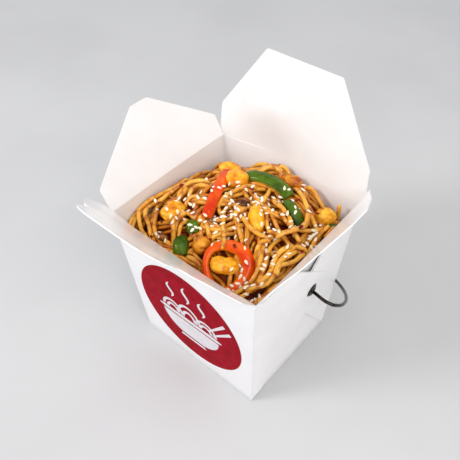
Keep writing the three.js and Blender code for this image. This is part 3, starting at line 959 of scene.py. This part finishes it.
# These two cross over toppings.
OVER_TOPPINGS = [
    [(-2, -2), (-2, -8), (2, -13), (7, -19), (13, -25), (15, -30)],
    [(7, 1), (6, -6), (6, -10)],
]


def distance_along(path):
    return np.concatenate([[0], np.cumsum(np.linalg.norm(np.diff(path, axis=0), axis=1))])


def even_steps(knots):
    fine = smooth_path([(x, y, 0) for x, y in knots], 12)[:, :2]
    run = distance_along(fine)
    at = np.linspace(0, run[-1], max(6, int(run[-1])))
    return np.column_stack([np.interp(at, run, fine[:, 0]), np.interp(at, run, fine[:, 1])])


for knots in TOP_STRANDS:
    lay(even_steps(knots), rng, tone=rng.uniform(0.55, 1.0), ends=1.6)
for knots in OVER_TOPPINGS:
    lay(even_steps(knots), rng, over=True, tone=rng.uniform(0.6, 1.0), ends=1.2)

# One end stands up in the back right corner.
standing_end = [(40.8, 41.0, 91.0), (41.2, 40.5, 97.0), (41.4, 40.2, 102.0), (41.2, 40.0, 107.3)]
strands.append((smooth_path(standing_end, 6), 1.0))

noodle_points, noodle_faces, noodle_tone, noodle_depth = [], [], [], []
for path, tone in strands:
    run = distance_along(path)
    sunk = np.mean([float(heap_height(p[0], p[1])) - p[2] for p in path])
    sides, step = (8, 1.5) if sunk < 3.0 else (6, 2.4)
    path = np.column_stack([eased(path[:, k], 2) for k in range(3)])
    at = np.linspace(0, run[-1], max(5, int(run[-1] / step)))
    path = np.column_stack([np.interp(at, run, path[:, k]) for k in range(3)])
    # No two noodles are equally thick, and each swells a little along its length.
    plump = 0.86 + 0.3 * noise.noise((17.0 * tone, 5.0, 1.0)) + 0.2 * tone
    radii = STRAND_RADIUS * (plump + 0.04 * np.sin(at * 0.22 + 9 * tone))
    # No strand reaches into the walls, which lean in towards the base.
    room_x = half_x(path[:, 2]) - 0.6 - radii
    room_y = half_y(path[:, 2]) - 0.6 - radii
    path[:, 0] = np.clip(path[:, 0], -room_x, room_x)
    path[:, 1] = np.clip(path[:, 1], -room_y, room_y)
    caps = np.minimum(np.arange(len(at)), np.arange(len(at))[::-1])
    radii = np.where(caps == 0, radii * 0.45, np.where(caps == 1, radii * 0.93, radii))
    first = len(noodle_points)
    rings = tube_rings(path, radii, sides)
    noodle_points += rings
    noodle_faces += grid_faces(len(path), sides, closed=True, first=first)
    noodle_faces += end_caps(first, len(noodle_points), sides)
    noodle_tone += [tone] * len(rings)
    noodle_depth += [float(heap_height(p[0], p[1])) - p[2] for p in rings]
noodles = lay_mesh("noodle_strands", noodle_points, noodle_faces)


def mark(piece, name, values):
    """Store one number on each point, for the finish to read."""
    field = piece.data.attributes.new(name, "FLOAT", "POINT")
    field.data.foreach_set("value", np.array(values, dtype=np.float32))


def attribute(tree, name):
    read = tree.nodes.new("ShaderNodeAttribute")
    read.attribute_name = name
    return read.outputs["Fac"]


def larger(tree, first, second):
    most = tree.nodes.new("ShaderNodeMath")
    most.operation = "MAXIMUM"
    tree.links.new(first, most.inputs[0])
    tree.links.new(second, most.inputs[1])
    return most.outputs["Value"]


def stir(tree, share, first, second):
    """Colour first where share is 0 and second where it is 1."""
    mixed = tree.nodes.new("ShaderNodeMix")
    mixed.data_type = "RGBA"
    tree.links.new(share, mixed.inputs["Factor"])
    for socket, shade in ((mixed.inputs[6], first), (mixed.inputs[7], second)):
        if isinstance(shade, tuple):
            socket.default_value = (*shade, 1.0)
        else:
            tree.links.new(shade, socket)
    return mixed.outputs[2]


def soften(shader, weight, spread, depth=1.5):
    """Let light sink in and spread below the surface, depth in millimetres."""
    shader.inputs["Subsurface Weight"].default_value = weight
    shader.inputs["Subsurface Radius"].default_value = spread
    shader.inputs["Subsurface Scale"].default_value = depth * MM


mark(noodles, "tone", noodle_tone)
mark(noodles, "depth", noodle_depth)
sauced, tree, shader = new_finish("sauced_noodle")
dough = shades(tree, mottle(tree, 90.0, 4.0), [(0.3, (0.78, 0.34, 0.024)), (0.7, (0.95, 0.54, 0.085))])
toned = stir(tree, attribute(tree, "tone"), (0.58, 0.18, 0.007), dough)
soy = fitted(tree, mottle(tree, 200.0, 4.0, distortion=0.6), 0.47, 0.62, 0.0, 0.8)
# Strands that lie deeper under the heap's top are mixed towards the dark sauce colour: painted shade for the
# gaps between strands. The soy mottle gives real sauce stains in the same colour.
deep = fitted(tree, attribute(tree, "depth"), 1.4, 5.0, 0.0, 0.9)
colour(tree, shader, stir(tree, larger(tree, soy, deep), toned, (0.36, 0.070, 0.002)))
wet = fitted(tree, attribute(tree, "depth"), 0.5, 3.5, 0.6, 0.0)
tree.links.new(wet, shader.inputs["Coat Weight"])
roughness(tree, shader, 300.0, 0.16, 0.3)
relief(tree, shader, mottle(tree, 1100.0, 3.0), 0.06, 0.6)
shader.inputs["Specular IOR Level"].default_value = 0.12
shader.inputs["Coat Roughness"].default_value = 0.05
soften(shader, 0.1, (1.0, 0.4, 0.12))
noodles.data.materials.append(sauced)
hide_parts("noodles")
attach(noodles, "box")

# The core's dark red-brown is partly the sauce and partly painted shade for the shaded noodles deep in the
# gaps.
sauce_and_painted_shade, tree, shader = new_finish("sauce_and_painted_shade")
sauce_and_gap_shade_colours = [(0.35, (0.17, 0.018, 0.001)), (0.65, (0.30, 0.050, 0.001))]
colour(tree, shader, shades(tree, mottle(tree, 240.0, 5.0), sauce_and_gap_shade_colours))
roughness(tree, shader, 300.0, 0.25, 0.45)
relief(tree, shader, mottle(tree, 420.0, 4.0), 0.6, 0.8)
shader.inputs["Specular IOR Level"].default_value = 0.2
core.data.materials.append(sauce_and_painted_shade)
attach(core, "box")


# ------------------------------------------------------------------------------------------------
# Fried nuts
# Halved and whole nuts, fried golden and tossed in the sauce. Each is a lumpy, slightly creased
# ball. The one in the middle is split at its end, and the one in the pepper ring has two lobes.
def nut(name, at, size, turn, tip, waist=0.0, split=0.0, seed=0.0):
    rings, sides = 34, 52
    points = []
    for r in range(rings + 1):
        lat = math.pi * r / rings
        for s in range(sides):
            lon = 2 * math.pi * s / sides
            # The poles lie along the nut's length, so that its creases run from end to end.
            x, y, z = math.cos(lat), math.sin(lat) * math.cos(lon), math.sin(lat) * math.sin(lon)
            swell = 1 + 0.11 * noise.noise((x * 1.3 + seed, y * 1.3, z * 1.3))
            swell += 0.065 * noise.noise((x * 3.1, y * 3.1 + seed, z * 3.1))
            swell += 0.03 * math.sin(7 * lon + 3.5 * noise.noise((x, y + seed, z))) * math.sin(lat)
            pinch = 1 - (0.08 + waist) * math.exp(-(x / 0.3) ** 2) * (0.4 + 0.6 * max(0.0, z))
            groove = split * math.exp(-((y - 0.08) / 0.09) ** 2) * float(ease(-x, 0.1, 0.8))
            cleft = 1 - groove * max(0.0, z + 0.3)
            nick = 0.5 * split * math.exp(-(y / 0.16) ** 2) * float(ease(-x, 0.5, 1))
            px = x * size[0] / 2 * swell * (1 - nick)
            py, pz = y * size[1] / 2 * swell * pinch, z * size[2] / 2 * swell * pinch * cleft
            points.append(Vector((px, py, pz)))
    place = Matrix.Translation(at) @ Matrix.Rotation(turn, 4, "Z") @ Matrix.Rotation(tip, 4, "Y")
    piece = lay_mesh(name, [place @ p for p in points], grid_faces(rings + 1, sides, closed=True))
    weld = piece.modifiers.new("weld", "WELD")
    weld.merge_threshold = 0.01 * MM
    return settle(piece)


def fried_skin(name, dark, middle, light, toasted, toast_from):
    finish, tree, shader = new_finish(name)
    patches = mottle(tree, 190.0, 5.0, distortion=0.4)
    skin = shades(tree, patches, [(0.33, dark), (0.46, middle), (0.68, light)])
    toast = fitted(tree, mottle(tree, 300.0, 3.0, distortion=0.5), toast_from, toast_from + 0.22, 0.0, 0.75)
    colour(tree, shader, stir(tree, toast, skin, toasted))
    roughness(tree, shader, 350.0, 0.2, 0.36)
    relief(tree, shader, mottle(tree, 420.0, 4.0, distortion=0.5), 0.3, 0.8)
    gloss(shader, 0.15, 0.3, 0.08)
    soften(shader, 0.1, (1.0, 0.5, 0.15))
    return finish


golden = fried_skin("fried_golden_nut", (0.60, 0.16, 0.002), (0.88, 0.355, 0.004), (0.96, 0.54, 0.035),
                    (0.48, 0.11, 0.003), 0.51)
well_done = fried_skin("fried_brown_nut", (0.30, 0.055, 0.002), (0.54, 0.15, 0.004), (0.82, 0.36, 0.025),
                       (0.24, 0.04, 0.002), 0.48)

NUTS = {
    "nut_crown": dict(at=(-13.1, 16.2, 111.5), size=(13.2, 12.6, 11), turn=0.6, tip=0.1, seed=1.0),
    "nut_back": dict(at=(-25.5, 25, 106.8), size=(14, 10.5, 7.5), turn=0.3, tip=0.1, seed=2.0),
    "nut_left": dict(at=(-25.6, -23.4, 108), size=(15, 11.5, 9.5), turn=1.68, tip=0.0, waist=0.08, seed=3.0),
    "nut_centre": dict(at=(15.6, -2.4, 111), size=(16.6, 9.2, 8.5), turn=-0.86 + math.pi, tip=-0.35,
                       split=0.3, seed=4.0),
    "nut_front": dict(at=(1.1, -29.8, 104.4), size=(9.8, 10.4, 10), turn=0.2, tip=0.1, seed=5.0),
    "nut_ring": dict(at=(19.5, -32.8, 104.8), size=(14.8, 10.8, 8), turn=0.6, tip=0.1, waist=0.2, seed=6.0),
    "nut_right": dict(at=(38, 31, 102.2), size=(13, 12, 10), turn=0.9, tip=-0.2, seed=7.0),
    "nut_rear": dict(at=(9, 39, 107), size=(13, 9, 8), turn=0.4, tip=0.1, seed=8.0),
}
for node, shape in NUTS.items():
    piece = nut("fried_" + node, **shape)
    piece.data.materials.append(well_done if node in ("nut_front", "nut_rear") else golden)
    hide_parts(node)
    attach(piece, "box")


# ------------------------------------------------------------------------------------------------
# Pepper strips and pepper ring
# Slices of red and green pepper, cut across the wall of the fruit: glossy skin on the outer side,
# paler wet flesh on the inner side and the cut edges, softened and curled by frying.
def pepper_strip(name, knots, width, thickness, seed=0.0):
    path = smooth_path(knots, 12)
    section = []
    for i in range(20):
        turn = 2 * math.pi * i / 20
        c, s = math.cos(turn), math.sin(turn)
        section.append((math.copysign(abs(c) ** 0.45, c), math.copysign(abs(s) ** 0.6, s)))
    points, skin = [], []
    for index, (centre, way) in enumerate(zip(path, directions(path))):
        share = index / (len(path) - 1)
        across = np.cross((0, 0, 1), way)
        across /= np.linalg.norm(across)
        up = np.cross(way, across)
        ends = 0.84 + 0.16 * math.sin(math.pi * share) ** 0.6
        if index in (0, len(path) - 1):
            ends *= 0.93
        wobble = 0.06 * noise.noise((share * 4, seed, 0)) * width
        for side, face in section:
            half = width / 2 * ends * (1 + 0.08 * noise.noise((share * 5, seed, side)))
            bow = -0.13 * width * side * side * ends
            fat = thickness / 2 * (1 + 0.15 * noise.noise((share * 6, seed + 5, side * 2)))
            points.append(centre + across * (side * half + wobble) + up * (face * fat + bow))
            skin.append(float(ease(face, -0.2, 0.5)))
    faces = grid_faces(len(path), 20, closed=True) + end_caps(0, len(points), 20)
    piece = lay_mesh(name, points, faces)
    mark(piece, "skin", skin)
    return piece


def pepper_finish(name, deep, bright, flesh):
    finish, tree, shader = new_finish(name)
    body = shades(tree, mottle(tree, 110.0, 4.0), [(0.35, deep), (0.65, bright)])
    fleck = fitted(tree, mottle(tree, 500.0, 3.0), 0.6, 0.75, 0.0, 0.35)
    speckled = stir(tree, fleck, body, flesh)
    colour(tree, shader, stir(tree, attribute(tree, "skin"), flesh, speckled))
    roughness(tree, shader, 260.0, 0.16, 0.34)
    relief(tree, shader, mottle(tree, 380.0, 4.0), 0.12, 0.6)
    gloss(shader, 0.1, 0.22, 0.05)
    soften(shader, 0.06, (1.0, 0.4, 0.2))
    return finish


red_pepper = pepper_finish("red_pepper", (0.60, 0.030, 0.001), (0.86, 0.125, 0.001), (0.86, 0.25, 0.010))
green_pepper = pepper_finish("green_pepper", (0.026, 0.060, 0.001), (0.080, 0.155, 0.002),
                             (0.26, 0.31, 0.035))
# Each strip's points along its middle, its width and its thickness.
STRIPS = {
    "green_pepper_arch": ([(-13.5, 22.2, 109), (-9, 24.3, 112.3), (-2.5, 26.3, 113.2), (5.5, 27.3, 113),
                           (12.5, 27, 111.6), (17.2, 26, 109.2)], 8.2, 2.6),
    "green_pepper_tail": ([(18.5, 21.4, 109.6), (23.4, 19, 110.6), (28.8, 16, 109.4),
                           (34.5, 13, 105.8)], 6.5, 2.4),
    "red_pepper_strip": ([(-23.6, 19.6, 110), (-18, 7.9, 112.4), (-12.2, -4.6, 112.6),
                          (-6.7, -17.4, 110.6)], 6.8, 2.8),
    "green_pepper_left": ([(-13, -22.5, 107.3), (-9.6, -24.8, 108.3), (-6.8, -27, 106.2)], 7, 2.4),
    "green_pepper_front": ([(-12.6, -31.6, 102.8), (-9.2, -35, 102.4), (-6.4, -39, 99.6)], 8.5, 2.4),
    "green_pepper_right": ([(43.6, 25.4, 100.2), (44.2, 29, 100.8), (44.4, 32.4, 99)], 4.5, 2),
}
for number, (node, (knots, width, thickness)) in enumerate(STRIPS.items()):
    piece = pepper_strip("sliced_" + node, knots, width, thickness, seed=3.0 + number)
    red = node.startswith("red")
    piece.data.materials.append(red_pepper if red else green_pepper)
    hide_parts(node)
    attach(piece, "box")

RING_CENTRE, RING_REACH, RING_ACROSS = (20.2, -32.0, 102.4), 11.9, 10.8
RING_TALL, RING_WALL, RING_TURN, RING_TILT = 3.6, 5.6, -49, 38
RING_UNEVEN = 0.38
ring_points, ring_skin = [], []
ring_steps, ring_sides = 96, 20
for i in range(ring_steps):
    angle = 2 * math.pi * i / ring_steps
    across, along = math.cos(angle), math.sin(angle)
    wave = 1 + 0.05 * math.cos(3 * angle + 0.6) + 0.02 * noise.noise((across * 2, along * 2, 4))
    for j in range(ring_sides):
        turn = 2 * math.pi * j / ring_sides
        c, s = math.cos(turn), math.sin(turn)
        broad = 1 + RING_UNEVEN * along
        out = math.copysign(abs(c) ** 0.55, c) * RING_WALL / 2 * broad
        rise = math.copysign(abs(s) ** 0.7, s) * RING_TALL / 2 - 0.5 * (out / RING_WALL * 2) ** 2
        out *= 1 + 0.1 * noise.noise((3 * across, 3 * along, s))
        x, y = (RING_REACH * wave + out) * across, (RING_ACROSS * wave + out) * along
        ring_points.append(Vector((x, y, rise)))
        ring_skin.append(float(ease(c + 0.6 * s, -0.9, 0.1)))
place = Matrix.Translation(RING_CENTRE) @ Matrix.Rotation(math.radians(RING_TURN), 4, "Z")
place = place @ Matrix.Rotation(math.radians(RING_TILT), 4, "Y")
ring_faces = grid_faces(ring_steps, ring_sides, closed=True)
for j in range(ring_sides):
    a = (ring_steps - 1) * ring_sides
    ring_faces.append((a + j, a + (j + 1) % ring_sides, (j + 1) % ring_sides, j))
ring = lay_mesh("sliced_red_pepper_ring", [place @ p for p in ring_points], ring_faces)
mark(ring, "skin", ring_skin)
ring.data.materials.append(red_pepper)
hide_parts("red_pepper_ring")
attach(ring, "box")


# ------------------------------------------------------------------------------------------------
# Mushroom pieces
# Two small pieces of dark mushroom, shrunken, wrinkled and coated in sauce.
mushroom_brown, tree, shader = new_finish("sauced_mushroom")
cap_shades = [(0.4, (0.050, 0.010, 0.002)), (0.66, (0.34, 0.110, 0.020))]
colour(tree, shader, shades(tree, mottle(tree, 300.0, 5.0, distortion=0.5), cap_shades))
roughness(tree, shader, 350.0, 0.22, 0.45)
relief(tree, shader, mottle(tree, 520.0, 4.0), 0.3, 0.8)
gloss(shader, 0.1, 0.25, 0.08)
MUSHROOMS = {
    "mushroom_left": dict(at=(-21.8, -36, 99.8), size=(6.2, 5, 4.4), turn=0.3, tip=0.0, seed=11.0),
    "mushroom_centre": dict(at=(0.5, 5.2, 109.8), size=(8, 7, 4.5), turn=0.8, tip=0.1, seed=12.0),
}
for node, shape in MUSHROOMS.items():
    piece = nut("sauced_" + node, **shape)
    piece.data.materials.append(mushroom_brown)
    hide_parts(node)
    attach(piece, "box")


# ------------------------------------------------------------------------------------------------
# Sesame seeds
# Toasted white sesame, scattered by hand over the heap: flat drops three millimetres long, lying on
# whatever they fell on. They cling to the sauce in loose groups.
def sit(x, y):
    i, j = cells_at(np.array([x]), np.array([y]))
    return float(max(heap_now[i[0], j[0]], topping_top[i[0], j[0]]))


SEED_LONG, SEED_WIDE, SEED_THICK = 3.0, 1.56, 0.9
seed_rings, seed_sides = 7, 10
seed_shape = []
for r in range(seed_rings + 1):
    lat = math.pi * r / seed_rings
    for s in range(seed_sides):
        lon = 2 * math.pi * s / seed_sides
        x = math.cos(lat)
        full = math.sin(lat) * (1 - 0.28 * x)
        y, z = SEED_WIDE / 2 * full * math.cos(lon), SEED_THICK / 2 * full * math.sin(lon)
        seed_shape.append(Vector((SEED_LONG / 2 * x, y, z)))
seed_faces = grid_faces(seed_rings + 1, seed_sides, closed=True)
# Loose groups as (along X, along Y, how many).
SEED_GROUPS = [
    (-27, -12, 2), (-21, -7, 4), (-19, -4, 2), (-24, 8, 1), (-18, 2, 1), (-12, 5, 4), (-6, 2, 4),
    (0, -1, 4), (-7, 10, 3), (-1, 11, 3), (6, 7, 5), (7, 11, 3), (11, 6, 3), (8, 19, 3), (13, 15, 4),
    (15, 22, 6), (19, 8, 3), (20, 3, 3), (23, -2, 2), (29, -4, 6), (27, -9, 2), (28, 10, 4), (31, 6, 6),
    (29, 18, 5), (17, 38, 2), (39, 18, 2), (40, 11, 2), (45, 13, 7), (45, 6, 3), (37, 2, 1),
    (36, -7, 5), (40, -9, 2), (34, -16, 2), (37, -23, 7), (41, -31, 2), (28, -28, 3), (31, -31, 5),
    (33, -34, 5), (29, -37, 5), (38, -35, 6), (11, -28, 2), (10, -21, 5), (3, -20, 3), (10, -13, 6),
    (8, -7, 6), (2, -8, 4), (-2, -15, 9), (-6, -20, 2), (-21, -21, 4), (-21, -13, 3), (-40, -20, 3),
    (-22, -30, 4), (-25, -35, 3), (-20, -36, 2), (-15, -23, 2), (-11, -28, 3), (-4, -27, 3),
    (19, -18, 2),
]
SEED_SPREAD, SEED_GAP = 2.1, 3.2
scatter = random.Random(5)
seed_points, sesame_faces, seed_tone = [], [], []


def drop_seed(x, y):
    step = 0.9
    slope_x = (sit(x + step, y) - sit(x - step, y)) / (2 * step)
    slope_y = (sit(x, y + step) - sit(x, y - step)) / (2 * step)
    up = Vector((-max(-0.9, min(0.9, slope_x)), -max(-0.9, min(0.9, slope_y)), 1)).normalized()
    lie = up.to_track_quat("Z", "X").to_matrix().to_4x4()
    turned = Matrix.Rotation(scatter.uniform(0, 2 * math.pi), 4, "Z")
    size = Matrix.Scale(scatter.uniform(0.88, 1.08), 4)
    where = Matrix.Translation((x, y, sit(x, y) + 0.3)) @ lie @ turned @ size
    first = len(seed_points)
    seed_points.extend(where @ p for p in seed_shape)
    sesame_faces.extend(tuple(first + v for v in f) for f in seed_faces)
    seed_tone.extend([scatter.random()] * len(seed_shape))


dropped = [(99.0, 99.0)]
for centre_x, centre_y, many in SEED_GROUPS:
    for _ in range(many):
        # Each seed takes the clearest of a few places, so that few lie on each other.
        places = [(max(-46, min(46, scatter.gauss(centre_x, SEED_SPREAD))),
                   max(-43, min(43, scatter.gauss(centre_y, SEED_SPREAD)))) for _ in range(5)]
        clearest = max(places, key=lambda spot: min(SEED_GAP, *(math.dist(spot, far) for far in dropped)))
        dropped.append(clearest)
        drop_seed(*clearest)
seeds = lay_mesh("sesame_seeds", seed_points, sesame_faces)
mark(seeds, "tone", seed_tone)
hull, tree, shader = new_finish("toasted_sesame")
husk = stir(tree, attribute(tree, "tone"), (0.90, 0.76, 0.54), (0.97, 0.93, 0.82))
browned = fitted(tree, mottle(tree, 900.0), 0.55, 0.8, 0.0, 0.3)
colour(tree, shader, stir(tree, browned, husk, (0.80, 0.52, 0.22)))
roughness(tree, shader, 500.0, 0.3, 0.5)
relief(tree, shader, mottle(tree, 1800.0, 2.0), 0.03, 0.4)
soften(shader, 0.15, (1.0, 0.8, 0.5), 0.8)
seeds.data.materials.append(hull)
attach(seeds, "box")


# ------------------------------------------------------------------------------------------------
# Chilli flakes
# Crushed dried chilli, stirred in with the sauce: thin crooked scraps of dark red skin, two to four
# millimetres long, that lie where they stuck.
FLAKES = [
    (-32.1, 7.4), (-0.4, 13.9), (2.5, 12.0), (29.2, 4.4), (45.5, -1.5), (-4.5, -14.4), (-2.5, -12.0),
    (3.2, -25.3), (18.6, -23.6), (-16.5, 25.5), (-19.0, 27.0), (-6.0, 31.0), (14.0, 33.0), (22.0, 26.5),
    (35.0, 28.0), (-36.0, -6.0), (-30.0, -29.0), (38.5, 6.0), (24.0, -13.0), (12.0, -18.5), (33.0, -40.0),
]
flake_points, flake_faces = [], []
for x, y in FLAKES:
    corners = scatter.choice((5, 6, 7))
    long, wide = scatter.uniform(1.2, 2.0), scatter.uniform(0.7, 1.1)
    curl = scatter.uniform(0.1, 0.28)
    turn = Matrix.Rotation(scatter.uniform(0, 2 * math.pi), 4, "Z")
    tip = Matrix.Rotation(scatter.uniform(-0.4, 0.4), 4, "X")
    where = Matrix.Translation((x, y, sit(x, y) + 0.45)) @ turn @ tip
    first = len(flake_points)
    flake_points.append(where @ Vector((0, 0, 0.25)))
    for share in (0.55, 1.0):
        for c in range(corners):
            lon = 2 * math.pi * (c + scatter.uniform(-0.25, 0.25)) / corners
            fx, fy = long * share * math.cos(lon), wide * share * math.sin(lon)
            flake_points.append(where @ Vector((fx, fy, 0.25 - curl * fx * fx)))
    for c in range(corners):
        near, far = first + 1 + c, first + 1 + (c + 1) % corners
        flake_faces.append((first, near, far))
        flake_faces.append((near, near + corners, far + corners, far))
flakes = lay_mesh("chilli_flakes", flake_points, flake_faces)
thicken(flakes, 0.3, 0.0, crisp=30)
dried_chilli, tree, shader = new_finish("dried_chilli")
chilli_shades = [(0.35, (0.10, 0.004, 0.001)), (0.65, (0.30, 0.018, 0.002))]
colour(tree, shader, shades(tree, mottle(tree, 500.0, 4.0), chilli_shades))
roughness(tree, shader, 600.0, 0.18, 0.35)
relief(tree, shader, mottle(tree, 900.0, 3.0), 0.08, 0.7)
gloss(shader, 0.15, 0.15, 0.1)
flakes.data.materials.clear()
flakes.data.materials.append(dried_chilli)
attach(flakes, "box")


# ------------------------------------------------------------------------------------------------
# Floor, light and camera
# The box stands on a plain pale table in a soft studio light: a cool lamp from the front left, a
# wider warm one from the right, a weak one overhead, and pale walls all round.
TABLE = 3000
floor_points = [(-TABLE, -TABLE, 0), (TABLE, -TABLE, 0), (TABLE, TABLE, 0), (-TABLE, TABLE, 0)]
floor = lay_mesh("floor", floor_points, [(0, 1, 2, 3)])
pale_table, tree, shader = new_finish("pale_table")
table_shades = [(0.4, (0.56, 0.56, 0.565)), (0.6, (0.59, 0.59, 0.595))]
colour(tree, shader, shades(tree, mottle(tree, 6.0), table_shades))
shader.inputs["Roughness"].default_value = 0.75
floor.data.materials.append(pale_table)


def soft_lamp(name, at, aim, size, power, tint):
    light = bpy.data.lights.new(name, "AREA")
    light.shape = "DISK"
    light.size = size
    light.energy = power
    light.color = tint
    lamp = bpy.data.objects.new(name, light)
    lamp.location = at
    lamp.rotation_euler = (Vector(aim) - Vector(at)).to_track_quat("-Z", "Y").to_euler()
    bpy.context.scene.collection.objects.link(lamp)


soft_lamp("key", (-0.45, -0.75, 0.85), (0, 0, 0.08), 0.35, 5.4, (0.97, 0.98, 1.0))
soft_lamp("fill", (0.8, -0.35, 0.9), (0, 0, 0.08), 0.6, 4.6, (1.0, 0.955, 0.91))
soft_lamp("top", (0.15, -0.1, 1.1), (0, 0, 0.1), 0.4, 1.2, (1.0, 0.985, 0.96))
world = bpy.data.worlds.new("pale_room")
world.use_nodes = True
world.node_tree.nodes["Background"].inputs["Color"].default_value = (0.97, 0.98, 1.0, 1.0)
world.node_tree.nodes["Background"].inputs["Strength"].default_value = 0.74
bpy.context.scene.world = world
bpy.context.scene.view_settings.view_transform = "Standard"

lens = bpy.data.cameras.new("camera")
lens.sensor_width = 36.0
lens.lens = 43.83
lens.clip_start = 0.01
azimuth, elevation, roll = 0.7129, 0.7996, -0.0113
level = math.cos(elevation)
back = Vector((math.sin(azimuth) * level, -math.cos(azimuth) * level, math.sin(elevation)))
right = Vector((math.cos(azimuth), math.sin(azimuth), 0))
up = back.cross(right)
right_rolled = right * math.cos(roll) + up * math.sin(roll)
up_rolled = up * math.cos(roll) - right * math.sin(roll)
camera = bpy.data.objects.new("camera", lens)
turned = Matrix((right_rolled, up_rolled, back)).transposed().to_4x4()
camera.matrix_world = Matrix.Translation((0.14301, -0.17090, 0.32067)) @ turned
bpy.context.scene.collection.objects.link(camera)
bpy.context.scene.camera = camera
